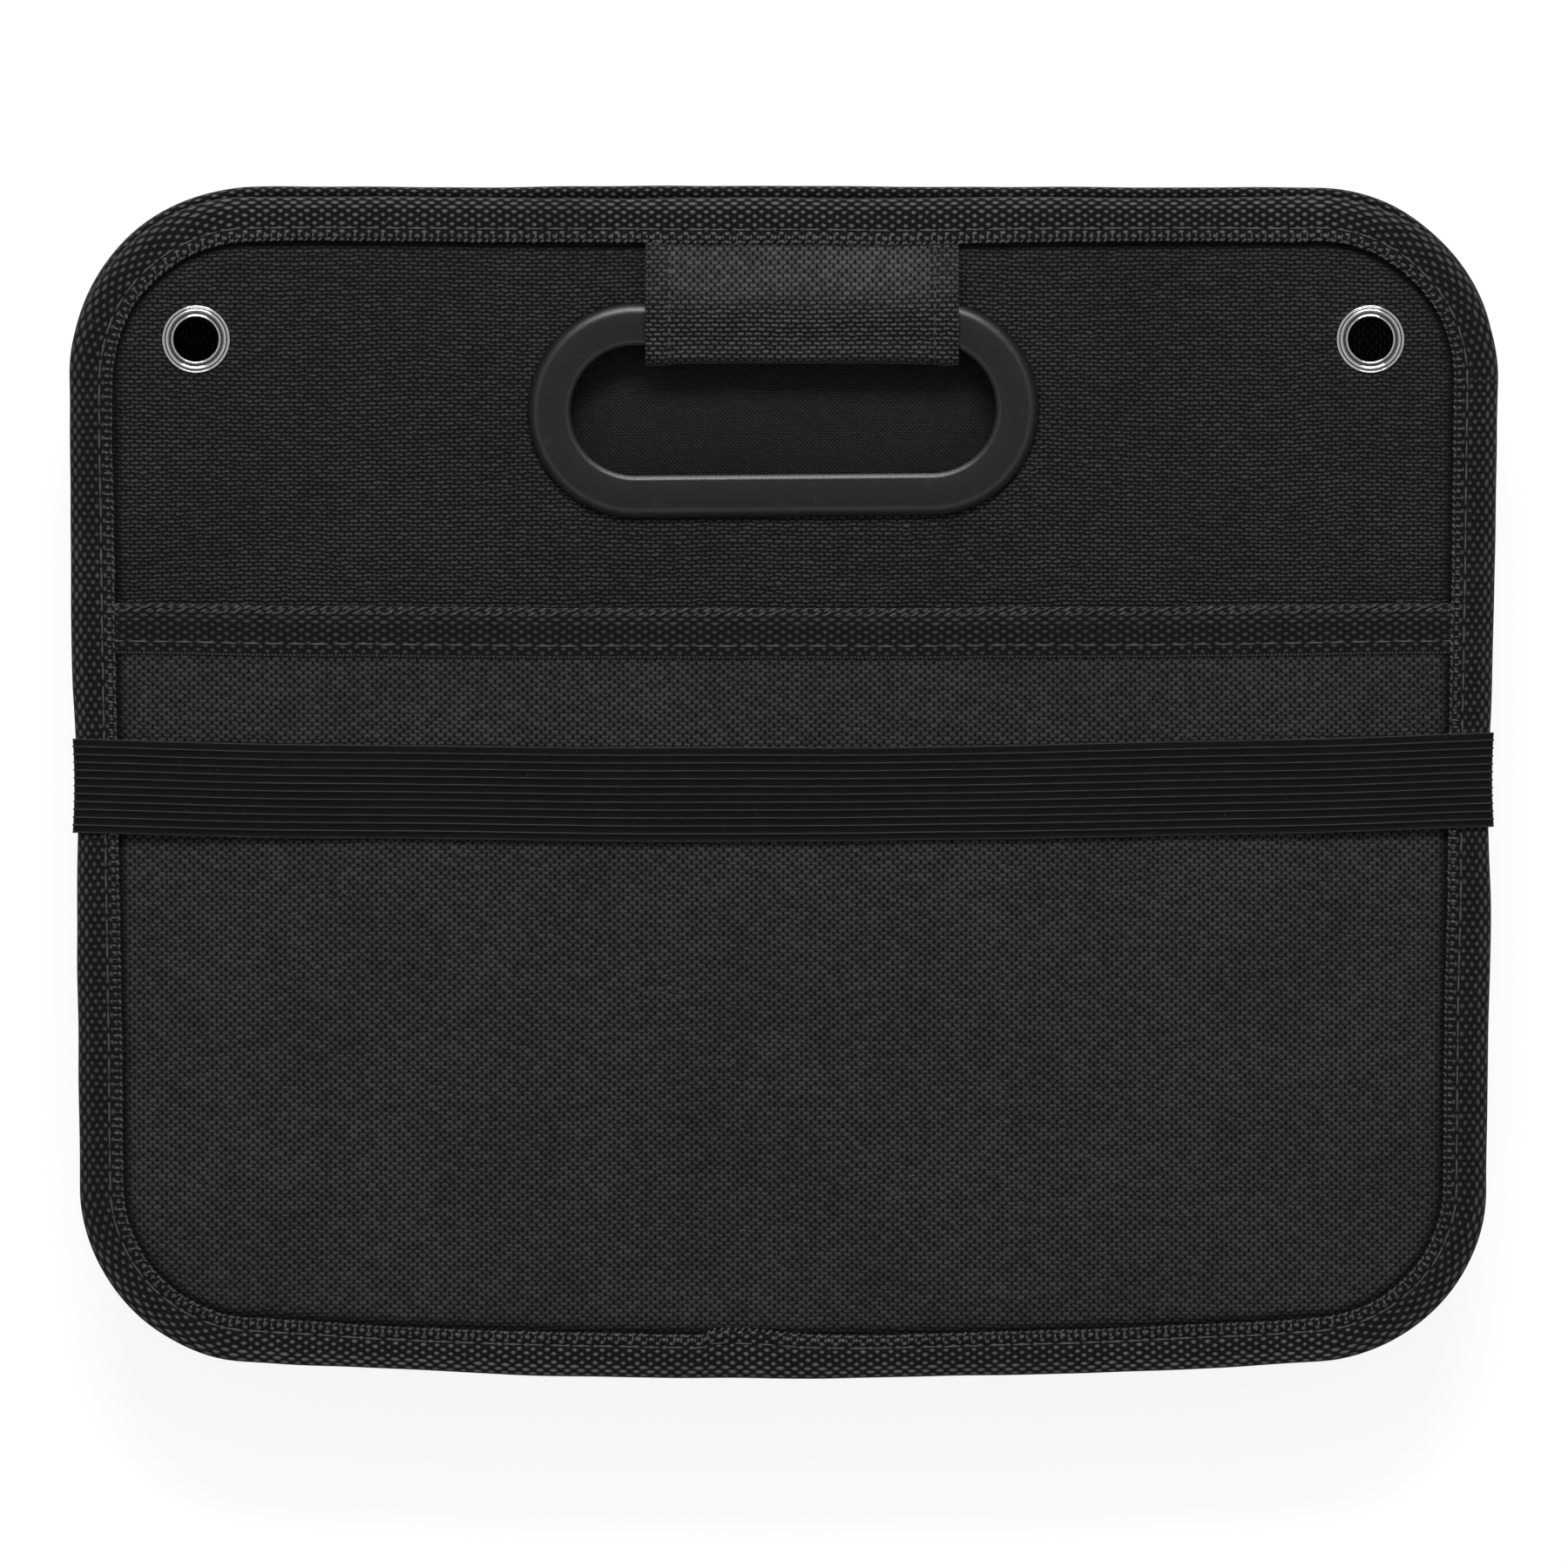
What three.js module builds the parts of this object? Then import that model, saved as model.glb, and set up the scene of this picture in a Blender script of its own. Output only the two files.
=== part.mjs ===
// A folding car trunk organizer, folded flat and held shut by its elastic band.
// Two board-stiffened end panels lie back to back, with the folded side walls and base between them.
// It lies on its rear panel: X runs across the panels, Y towards the handle edge, Z out of the front one.
// Lengths are millimetres. The origin is under the middle of the pack, on the surface that it lies on.
import * as THREE from "three";

// End panels: outline of the edge binding
const panel_width = 380;
const panel_height = 314;
const panel_taper = 3;
const top_corner_radius = 48.5;
const bottom_corner_radius = 47;
const bottom_edge_radius = 2200;
const panel_slip = 3.4;

// Plies of an end panel
const cover_thickness = 0.8;
const panel_board_thickness = 2.5;
const panel_lining_thickness = 0.5;
const ply_gap = 0.1;

// Edge binding: a woven tape folded over the panel's edge
const tape_thickness = 0.9;
const tape_crown = 0.15;
const binding_width = 11.4;
const binding_round = 1.2;
const binding_climb = 16;
const tape_seat = 0.05;
const selvedge_width = 0.3;
const fold_shoulder = 0.1;

// Gap that cut or curved pieces keep to each other
const seat_gap = 0.3;

// Flat pocket on the lower two thirds of a panel
const pocket_thickness = 0.8;
const mouth_below_ring = 22.6;
const pocket_mouth_sag = 1.6;
const pocket_bulge = 1.9;
const pocket_bulge_reach = 90;
const pocket_mouth_zone = 34;
const pocket_mouth_slack = 0.6;
const pocket_tape_width = 13.4;
const pocket_tape_thickness = 0.7;
const pocket_tape_round = 0.9;

// Handle: a stadium ring snapped through the panel, with a cloth grip round its upper bar
const ring_length = 136;
const ring_depth = 57.4;
const ring_bar = 11.6;
const ring_height = 2.8;
const ring_outer_bevel = 1.9;
const ring_inner_bevel = 1.5;
const ring_inner_round = 0.6;
const ring_inner_slope = 0.4;
const ring_barrel_wall = 2;
const barrel_recess = 0.4;
const ring_below_top = 56.2;
const board_cutout_inset = 5;
const ring_turn = THREE.MathUtils.degToRad(0.5);
const back_ring_margin = 1.5;
const back_ring_height = 1.8;
const back_ring_bevel = 0.9;
const grip_width = 83.4;
const grip_offset = 5;
const grip_thickness = 1.2;
const grip_hang = 5.5;
const grip_lead = 7;
const grip_fold_round = 2;

// Eyelets near the upper corners
const eyelet_hole_radius = 6.3;
const eyelet_flange_radius = 9.9;
const eyelet_roll_height = 1.9;
const eyelet_wall = 0.9;
const eyelet_lip = 1.2;
const eyelet_crest_width = 0.9;
const eyelet_groove_width = 1.5;
const eyelet_inset = 33.8;
const eyelet_below_top = 37.6;
const washer_thickness = 0.8;

// Elastic band round the whole pack
const band_width = 25;
const band_thickness = 1.25;
const band_clearance = 0.25;
const band_rib_depth = 0.35;
const band_ribs = 12;
const band_height = -0.3;
const band_sag = 3;
const band_lean = 0.8;
const band_edge_height = 2.2;
const band_bend = 1.8;

// Folded side walls and base: sewn sleeves with a board in each half
const sleeve_cloth = 0.6;
const flare_cloth = 0.5;
const wall_board_thickness = 1.8;
const board_clearance = 0.15;
const fold_gap = 0.6;
const fold_spacing = 0.4;
const fold_shortfall = 30;
const sleeve_inset = 16;
const flare_inset = 8;
const board_end_gap = 1.5;
const crease_margin = 6;
const wall_top_margin = 16;
const rim_height = 10;
const hardware_gap = 3.8;

// Facets
const corner_steps = 8;
const bottom_steps = 6;
const ring_end_steps = 12;
const hole_steps = 12;
const eyelet_steps = 16;
const band_run_steps = 12;
const band_bend_steps = 3;
const pocket_rings = [0.9, 0.74, 0.52, 0.28];
const mouth_steps = 12;

// Worked out from the sizes above
const half_width = panel_width / 2;
const half_height = panel_height / 2;
const panel_depth = cover_thickness + panel_board_thickness + panel_lining_thickness + 2 * ply_gap;
const board_face = -cover_thickness - ply_gap;
const lining_face = board_face - panel_board_thickness - ply_gap;
const mouth_lift = pocket_tape_thickness + seat_gap;
const ring_end = ring_depth / 2;
const ring_centre_y = half_height - ring_below_top;
const mouth_y = ring_centre_y - ring_end - mouth_below_ring;
const pocket_top = ply_gap + pocket_bulge + pocket_thickness;
const band_proud = pocket_top + band_clearance + band_thickness;
const grip_proud = ring_height + seat_gap + grip_thickness;
const proud = Math.max(band_proud, grip_proud);
const half_fold = 2 * sleeve_cloth + wall_board_thickness + 2 * board_clearance;
const fold_depth = 2 * half_fold + fold_gap;
const stack_depth = 3 * fold_depth + 2 * fold_spacing;
const pack_depth = 2 * (panel_depth + hardware_gap) + stack_depth;
const rear_face = proud;
const front_face = proud + pack_depth;
const fold_step = fold_depth + fold_spacing;
const fold_reach = panel_height - fold_shortfall;
const base_level = front_face - panel_depth - hardware_gap - fold_depth / 2;
const right_level = base_level - fold_step;
const left_level = right_level - fold_step;
const flare_top = front_face - panel_depth - ply_gap - tape_thickness - tape_crown - seat_gap;
const flare_bottom = rear_face + panel_depth + ply_gap + tape_thickness + tape_crown + seat_gap;

// Materials
const cloth = new THREE.MeshStandardMaterial({ color: 0x26262a, roughness: 0.9, metalness: 0 });
const lining_cloth = new THREE.MeshStandardMaterial({ color: 0x202023, roughness: 0.85, metalness: 0 });
const tape = new THREE.MeshStandardMaterial({ color: 0x1e1e20, roughness: 0.8, metalness: 0 });
const elastic = new THREE.MeshStandardMaterial({ color: 0x161617, roughness: 0.8, metalness: 0 });
const plastic = new THREE.MeshStandardMaterial({ color: 0x1c1c1e, roughness: 0.5, metalness: 0 });
const steel = new THREE.MeshStandardMaterial({ color: 0xc9c9c6, roughness: 0.2, metalness: 1 });
const board = new THREE.MeshStandardMaterial({ color: 0x6b5b4a, roughness: 0.95, metalness: 0 });

const root = new THREE.Group();

// Adds a named mesh to a group.
function add(group, name, geometry, material) {
  const mesh = new THREE.Mesh(geometry, material);
  mesh.name = name;
  group.add(mesh);
  return mesh;
}

// A closed geometry from vertices and triangles, turned so that its faces point out.
function closedGeometry(vertices, triangles) {
  const a = new THREE.Vector3();
  const b = new THREE.Vector3();
  const c = new THREE.Vector3();
  let volume = 0;
  for (const [i, j, k] of triangles) {
    a.fromArray(vertices[i]);
    b.fromArray(vertices[j]);
    c.fromArray(vertices[k]);
    volume += a.dot(b.cross(c));
  }
  const faces = volume < 0 ? triangles.map(([i, j, k]) => [i, k, j]) : triangles;
  const geometry = new THREE.BufferGeometry();
  geometry.setAttribute("position", new THREE.Float32BufferAttribute(vertices.flat(), 3));
  geometry.setIndex(faces.flat());
  geometry.computeVertexNormals();
  return geometry;
}

// A closed profile carried from station to station. A station turns a profile point into a place in space.
// A ring joins its last station to its first, and anything else gets two end caps.
function sweep(profile, stations, isRing) {
  const count = profile.length;
  const vertices = stations.flatMap((station) => profile.map(([a, b]) => station(a, b)));
  const triangles = [];
  const spans = isRing ? stations.length : stations.length - 1;
  for (let s = 0; s < spans; s++) {
    const here = s * count;
    const next = ((s + 1) % stations.length) * count;
    for (let p = 0; p < count; p++) {
      const q = (p + 1) % count;
      triangles.push([here + p, next + p, next + q]);
      triangles.push([here + p, next + q, here + q]);
    }
  }
  if (!isRing) {
    // The triangulator wants a counterclockwise outline, and the caps face away from each other.
    const outline = profile.map(([a, b]) => new THREE.Vector2(a, b));
    const last = (stations.length - 1) * count;
    const isClockwise = THREE.ShapeUtils.isClockWise(outline);
    const order = outline.map((_, i) => (isClockwise ? count - 1 - i : i));
    const cap = THREE.ShapeUtils.triangulateShape(order.map((i) => outline[i]), []);
    for (const corners of cap) {
      const [i, j, k] = corners.map((corner) => order[corner]);
      const front = isClockwise ? [i, k, j] : [i, j, k];
      triangles.push([front[0], front[1], front[2]]);
      triangles.push([last + front[0], last + front[2], last + front[1]]);
    }
  }
  return closedGeometry(vertices, triangles);
}

// Points of an arc, each with the outward direction that an inset follows.
function arc(cx, cy, radius, from, to, steps) {
  return Array.from({ length: steps + 1 }, (_, i) => {
    const angle = from + ((to - from) * i) / steps;
    const nx = Math.cos(angle);
    const ny = Math.sin(angle);
    return { x: cx + radius * nx, y: cy + radius * ny, nx, ny };
  });
}

function insetPoint(point, inset) {
  return [point.x - point.nx * inset, point.y - point.ny * inset];
}

function insetLoop(path, inset) {
  return path.map((point) => new THREE.Vector2(...insetPoint(point, inset)));
}

// Outline of an end panel: rounded upper corners, sides that draw in downwards, and a bowed bottom edge.
const low_half_width = half_width - panel_taper;
const low_corner_x = low_half_width - bottom_corner_radius;
const bottom_centre_y = bottom_edge_radius - half_height;
const centre_distance = bottom_edge_radius - bottom_corner_radius;
const low_corner_y = bottom_centre_y - Math.sqrt(centre_distance ** 2 - low_corner_x ** 2);
const high_corner_x = half_width - top_corner_radius;
const high_corner_y = half_height - top_corner_radius;
const bottom_lean = Math.asin(low_corner_x / centre_distance);
const quarter = Math.PI / 2;

// Half the panel's width at a height between its corners.
function halfWidthAt(y) {
  const share = (y - low_corner_y) / (high_corner_y - low_corner_y);
  return low_half_width + panel_taper * THREE.MathUtils.clamp(share, 0, 1);
}

// Points on the straight side, where the binding climbs over the pocket's edge.
function sidePoints(sign) {
  const over_tape = [mouth_y + binding_climb, mouth_y + binding_climb / 2, mouth_y + tape_thickness];
  const over_cloth = [0.1, 0.4, 0.7, 1].map((share) => mouth_y - share * pocket_mouth_zone);
  return [...over_tape, ...over_cloth].map((y) => ({ x: sign * halfWidthAt(y), y, nx: sign, ny: 0 }));
}

const bottom_left_corner = arc(
  -low_corner_x, low_corner_y, bottom_corner_radius, 2 * quarter, 3 * quarter - bottom_lean, corner_steps,
);
const bottom_right_corner = arc(
  low_corner_x, low_corner_y, bottom_corner_radius, 3 * quarter + bottom_lean, 4 * quarter, corner_steps,
);
const bottom_edge = arc(
  0, bottom_centre_y, bottom_edge_radius, 3 * quarter - bottom_lean, 3 * quarter + bottom_lean, bottom_steps,
);
const panel_path = [
  ...arc(high_corner_x, high_corner_y, top_corner_radius, 0, quarter, corner_steps),
  ...arc(-high_corner_x, high_corner_y, top_corner_radius, quarter, 2 * quarter, corner_steps),
  ...sidePoints(-1),
  ...bottom_left_corner,
  ...bottom_edge.slice(1, -1),
  ...bottom_right_corner,
  ...sidePoints(1).reverse(),
];

// How far a point of the lower panel lies inside the outline.
function insetAt(x, y) {
  const across = Math.abs(x);
  if (across > low_corner_x && y < low_corner_y) {
    return bottom_corner_radius - Math.hypot(across - low_corner_x, y - low_corner_y);
  }
  const from_bottom = bottom_edge_radius - Math.hypot(x, y - bottom_centre_y);
  return Math.min(halfWidthAt(y) - across, from_bottom);
}

// Stadium outline of the handle ring, about its own middle.
const ring_centre_x = ring_length / 2 - ring_end;
const stadium = [
  ...arc(ring_centre_x, 0, ring_end, -quarter, quarter, ring_end_steps),
  ...arc(-ring_centre_x, 0, ring_end, quarter, 3 * quarter, ring_end_steps),
];
const ring_path = stadium.map(({ x, y, nx, ny }) => {
  const cos = Math.cos(ring_turn);
  const sin = Math.sin(ring_turn);
  return {
    x: x * cos - y * sin,
    y: x * sin + y * cos + ring_centre_y,
    nx: nx * cos - ny * sin,
    ny: nx * sin + ny * cos,
  };
});

const eyelet_x = half_width - eyelet_inset;
const eyelet_y = half_height - eyelet_below_top;
const eyelet_barrel_radius = eyelet_hole_radius + eyelet_wall;

// A ply of the panel, with the hand hole and the two eyelet holes cut through it. The cloths reach
// in to the ring's barrel, and the board's cut-out is larger, so that the cloths can be drawn in.
function panelPly(top, thickness, hole_inset = ring_bar - ring_barrel_wall - seat_gap) {
  const shape = new THREE.Shape(insetLoop(panel_path, binding_round + seat_gap));
  shape.holes.push(new THREE.Path(insetLoop(ring_path, hole_inset)));
  for (const sign of [-1, 1]) {
    const hole = arc(sign * eyelet_x, eyelet_y, eyelet_barrel_radius + seat_gap, 0, 4 * quarter, hole_steps);
    shape.holes.push(new THREE.Path(insetLoop(hole.slice(0, -1), 0)));
  }
  const geometry = new THREE.ExtrudeGeometry(shape, { depth: thickness, bevelEnabled: false });
  return geometry.translate(0, 0, top - thickness);
}

function smooth(value, low, high) {
  return THREE.MathUtils.smoothstep(value, low, high);
}

// The pocket's mouth sags a little in the middle.
function mouthAt(x) {
  return mouth_y - pocket_mouth_sag * (1 - (x / half_width) ** 2);
}

// Height of the pocket's back over the cover: bellied in the middle, held down by the binding,
// and lifted at the mouth by the tape behind it.
function pocketLift(x, y) {
  const inside = (insetAt(x, y) - binding_width - 1) / pocket_bulge_reach;
  const belly = pocket_bulge * (1 - (1 - THREE.MathUtils.clamp(inside, 0, 1)) ** 2);
  const across = Math.min(1, (x / (half_width - binding_width)) ** 2);
  const open = mouth_lift + pocket_mouth_slack * (1 - across);
  const towards_mouth = smooth(y, mouthAt(x) - pocket_mouth_zone, mouthAt(x) - pocket_tape_width);
  return ply_gap + THREE.MathUtils.lerp(belly, open, towards_mouth);
}

// Height of the cloth under the binding: the bare cover above the pocket, and the pocket's edge below.
function underBinding(x, y) {
  const top = ply_gap + pocketLift(x, Math.min(y, mouth_y)) + pocket_thickness;
  const over_pocket = 1 - smooth(y, mouth_y + tape_thickness, mouth_y + binding_climb);
  return THREE.MathUtils.lerp(ply_gap, top, over_pocket);
}

// The tape wraps the edge: a front leg, a rounded outer edge and a back leg.
function edgeBinding() {
  const back = -panel_depth - ply_gap;
  const front_top = tape_thickness + tape_crown;
  // Each profile point holds its inset and its height. Points over the panel's face ride on the cloth.
  const front_leg = [
    [binding_width, tape_seat],
    [binding_width - selvedge_width, tape_thickness],
    [binding_width / 2, front_top],
    [binding_round, tape_thickness - fold_shoulder],
  ];
  const behind = [
    [0, -binding_round / 2],
    [0, back + binding_round / 2],
    [binding_round, back - tape_thickness + fold_shoulder],
    [binding_width / 2, back - front_top],
    [binding_width - selvedge_width, back - tape_thickness],
    [binding_width, back],
    [binding_round, back],
  ];
  const profile = [...front_leg, ...behind, [binding_round, 0]];
  const stations = panel_path.map((point) => (inset, z) => {
    const [x, y] = insetPoint(point, inset);
    const isOnFace = z >= 0;
    return [x, y, isOnFace ? z + underBinding(...insetPoint(point, binding_round)) : z];
  });
  return sweep(profile, stations, true);
}

// The pocket's outline at an inset: the panel's below, and a mouth line that drops by the same measure.
function pocketLoop(inset, mouth_drop) {
  const below = insetLoop(panel_path, inset).filter(({ y }) => y < mouth_y - tape_thickness);
  const reach = halfWidthAt(mouth_y) - inset;
  const mouth = Array.from({ length: mouth_steps + 1 }, (_, i) => {
    const x = reach - (2 * reach * i) / mouth_steps;
    return new THREE.Vector2(x, mouthAt(x) - mouth_drop);
  });
  return [...below, ...mouth];
}

// The pocket is one bellied sheet, caught under the binding at its sides and bottom.
function pocketSheet() {
  const hem = pocket_tape_thickness + seat_gap;
  const edge = pocketLoop(binding_round + seat_gap, hem);
  const seam = pocketLoop(binding_width + 1, 2 * hem);
  const middle = new THREE.Vector2(0, (mouth_y - half_height) / 2);
  const inner = pocket_rings.map((share) => seam.map((p) => p.clone().lerp(middle, 1 - share)));
  const loops = [edge, seam, ...inner];
  const count = edge.length;
  const side_size = loops.length * count + 1;
  const vertices = [pocket_thickness, 0].flatMap((height) => [...loops.flat(), middle].map(({ x, y }) => {
    return [x, y, pocketLift(x, y) + height];
  }));
  const triangles = [];
  for (let i = 0; i < count; i++) {
    const j = (i + 1) % count;
    const hub = side_size - 1;
    const last = hub - count;
    const top = [[last + i, last + j, hub]];
    for (let r = 0; r < loops.length - 1; r++) {
      const outer = r * count;
      top.push([outer + i, outer + j, outer + count + j], [outer + i, outer + count + j, outer + count + i]);
    }
    triangles.push(...top, ...top.map(([a, b, c]) => [side_size + a, side_size + c, side_size + b]));
    triangles.push([i, side_size + i, side_size + j], [i, side_size + j, j]);
  }
  return closedGeometry(vertices, triangles);
}

// The tape over the pocket's mouth is folded to a narrow C round the pocket's upper edge.
function pocketBinding() {
  const face = pocket_thickness + ply_gap;
  const thick = pocket_tape_thickness;
  const shoulder = thick * 0.9;
  const hem = thick;
  const profile = [
    [-pocket_tape_width, face],
    [-pocket_tape_width + selvedge_width, face + shoulder],
    [-pocket_tape_width / 2, face + thick],
    [-pocket_tape_round, face + shoulder],
    [0, face],
    [0, -ply_gap],
    [-pocket_tape_round, -ply_gap - shoulder],
    [-pocket_tape_width, -ply_gap - thick],
    [-pocket_tape_width, -ply_gap],
    [-hem, -ply_gap],
    [-hem, face],
  ];
  const reach = halfWidthAt(mouth_y) - binding_width - seat_gap;
  const stations = Array.from({ length: mouth_steps + 1 }, (_, i) => {
    const x = -reach + (2 * reach * i) / mouth_steps;
    const lift = pocketLift(x, mouthAt(x));
    return (across, z) => [x, mouthAt(x) + across, lift + z];
  });
  return sweep(profile, stations, false);
}

// Front half of the handle ring, with the barrel that lines the hand hole.
function handleRing() {
  const barrel_end = -panel_depth - back_ring_height + barrel_recess;
  const barrel_outside = ring_bar - ring_barrel_wall;
  const profile = [
    [0, ply_gap],
    [0, ring_height - ring_inner_bevel],
    [ring_outer_bevel, ring_height],
    [ring_bar - ring_inner_bevel - ring_inner_slope, ring_height],
    [ring_bar - ring_inner_slope / 2, ring_height - ring_inner_bevel],
    [ring_bar, ring_height - ring_inner_bevel - ring_inner_round],
    [ring_bar, barrel_end],
    [barrel_outside, barrel_end],
    [barrel_outside, ply_gap],
  ];
  return sweep(profile, ringStations(), true);
}

// Back half of the handle ring, pushed over the barrel from inside.
function handleRingBack() {
  const seat = -panel_depth - ply_gap;
  const face = seat - back_ring_height;
  const inner = ring_bar - ring_barrel_wall - seat_gap;
  const profile = [
    [back_ring_margin, seat],
    [back_ring_margin, face + back_ring_bevel],
    [back_ring_margin + back_ring_bevel, face],
    [inner - back_ring_bevel, face],
    [inner, face + back_ring_bevel / 2],
    [inner, seat],
  ];
  return sweep(profile, ringStations(), true);
}

function ringStations() {
  return ring_path.map((point) => (inset, z) => [...insetPoint(point, inset), z]);
}

// Turned eyelet: a rolled flange on the face, a barrel through the plies and a lip set over the washer.
function eyelet() {
  const hole = eyelet_hole_radius;
  const barrel = eyelet_barrel_radius;
  const flange = eyelet_flange_radius;
  const crest = flange - eyelet_groove_width - eyelet_crest_width;
  const washer_back = -panel_depth - ply_gap - washer_thickness;
  const lip_top = washer_back - seat_gap;
  const lip_end = lip_top - eyelet_wall / 2;
  const outline = [
    [hole, lip_end + eyelet_wall],
    [hole, eyelet_roll_height * 0.35],
    [hole + eyelet_wall / 2, eyelet_roll_height * 0.78],
    [crest, eyelet_roll_height],
    [crest + eyelet_crest_width, eyelet_roll_height * 0.8],
    [crest + 1.5 * eyelet_crest_width, eyelet_roll_height * 0.36],
    [flange - eyelet_groove_width / 2, eyelet_roll_height * 0.3],
    [flange, eyelet_roll_height * 0.18],
    [flange, ply_gap],
    [barrel, ply_gap],
    [barrel, lip_top],
    [barrel + eyelet_lip, lip_top],
    [barrel + eyelet_lip, lip_end],
    [barrel - eyelet_wall / 4, lip_end],
    [hole, lip_end + eyelet_wall],
  ];
  return turned(outline);
}

function eyeletWasher() {
  const top = -panel_depth - ply_gap;
  const inner = eyelet_barrel_radius + seat_gap;
  const outline = [
    [inner, top],
    [eyelet_flange_radius, top],
    [eyelet_flange_radius, top - washer_thickness * 0.6],
    [eyelet_flange_radius - 0.4, top - washer_thickness],
    [inner, top - washer_thickness],
    [inner, top],
  ];
  return turned(outline);
}

// A closed profile of radius and height turned round the Z axis.
function turned(outline) {
  const ring = arc(0, 0, 1, 0, 4 * quarter, eyelet_steps).slice(0, -1);
  const stations = ring.map(({ nx, ny }) => (radius, z) => [radius * nx, radius * ny, z]);
  return sweep(outline.slice(0, -1), stations, true);
}

// A line moved sideways, with its corners mitred so that each stretch keeps its distance.
function offsetLine(line, distance) {
  return line.map(([a, b], i) => {
    const [before, after] = [line[Math.max(i - 1, 0)], line[Math.min(i + 1, line.length - 1)]];
    const into = new THREE.Vector2(a - before[0], b - before[1]).normalize();
    const out = new THREE.Vector2(after[0] - a, after[1] - b).normalize();
    const along = into.clone().add(out).normalize();
    const stretch = distance / Math.max(along.dot(i === 0 ? out : into), 0.5);
    return [a - along.y * stretch, b + along.x * stretch];
  });
}

// The cloth grip hangs from the edge binding, laps the ring's upper bar and comes back up inside.
function gripSleeve() {
  const half = grip_thickness / 2;
  const bar_top = ring_centre_y + ring_depth / 2;
  const bar_bottom = bar_top - ring_bar;
  const sewn = half_height - binding_width - seat_gap;
  const fold = bar_bottom - grip_hang + half;
  const outer = ring_height + seat_gap + half;
  const back = -panel_depth - ply_gap;
  const inner = back - back_ring_height - seat_gap - half;
  const round = grip_fold_round;
  const line = [
    [sewn, ply_gap + half],
    [bar_top + grip_lead, 2 * ply_gap + half],
    [bar_top + grip_lead / 2, outer - 1.6],
    [bar_top + grip_lead / 7, outer - 0.4],
    [bar_top - ring_outer_bevel, outer],
    [bar_bottom + grip_lead / 7, outer],
    [fold + round, outer - 0.4 * round],
    [fold + 0.3 * round, outer - 1.2 * round],
    [fold, outer - 2.2 * round],
    [fold, inner + 2.2 * round],
    [fold + 0.3 * round, inner + 1.2 * round],
    [fold + round, inner + 0.4 * round],
    [bar_bottom + grip_lead / 7, inner],
    [bar_top - ring_outer_bevel, inner],
    [bar_top + round, inner + ply_gap],
    [bar_top + grip_lead, back - half - 5 * ply_gap],
    [sewn, back - half],
  ];
  const profile = [...offsetLine(line, half), ...offsetLine(line, -half).reverse()];
  const ends = [-1, 1].map((sign) => grip_offset + (sign * grip_width) / 2);
  return sweep(profile, ends.map((x) => (y, z) => [x, y, z]), false);
}

// One end panel with everything sewn, riveted or snapped to it. Its cover's face is at height zero.
function endPanel(name, isFront) {
  const group = new THREE.Group();
  add(group, `${name}_cover`, panelPly(0, cover_thickness), cloth);
  add(group, `${name}_board`, panelPly(board_face, panel_board_thickness, board_cutout_inset), board);
  add(group, `${name}_lining`, panelPly(lining_face, panel_lining_thickness), lining_cloth);
  add(group, `${name}_edge_binding`, edgeBinding(), tape);
  add(group, `${name}_pocket`, pocketSheet(), cloth);
  add(group, `${name}_pocket_binding`, pocketBinding(), tape);
  add(group, `${name}_handle_ring`, handleRing(), plastic);
  add(group, `${name}_handle_ring_back`, handleRingBack(), plastic);
  add(group, `${name}_grip_sleeve`, gripSleeve(), cloth);
  for (const sign of [-1, 1]) {
    // The rear panel faces the other way, so its sides are swapped.
    const side = sign < 0 === isFront ? "left" : "right";
    const place = [sign * eyelet_x, eyelet_y, 0];
    add(group, `${name}_eyelet_${side}`, eyelet(), steel).position.set(...place);
    add(group, `${name}_eyelet_washer_${side}`, eyeletWasher(), steel).position.set(...place);
  }
  return group;
}

const front_panel = endPanel("front", true);
front_panel.position.set(0, -panel_slip / 2, front_face);
root.add(front_panel);

const rear_panel = endPanel("rear", false);
rear_panel.rotation.y = Math.PI;
rear_panel.position.set(0, panel_slip / 2, rear_face);
root.add(rear_panel);

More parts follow.
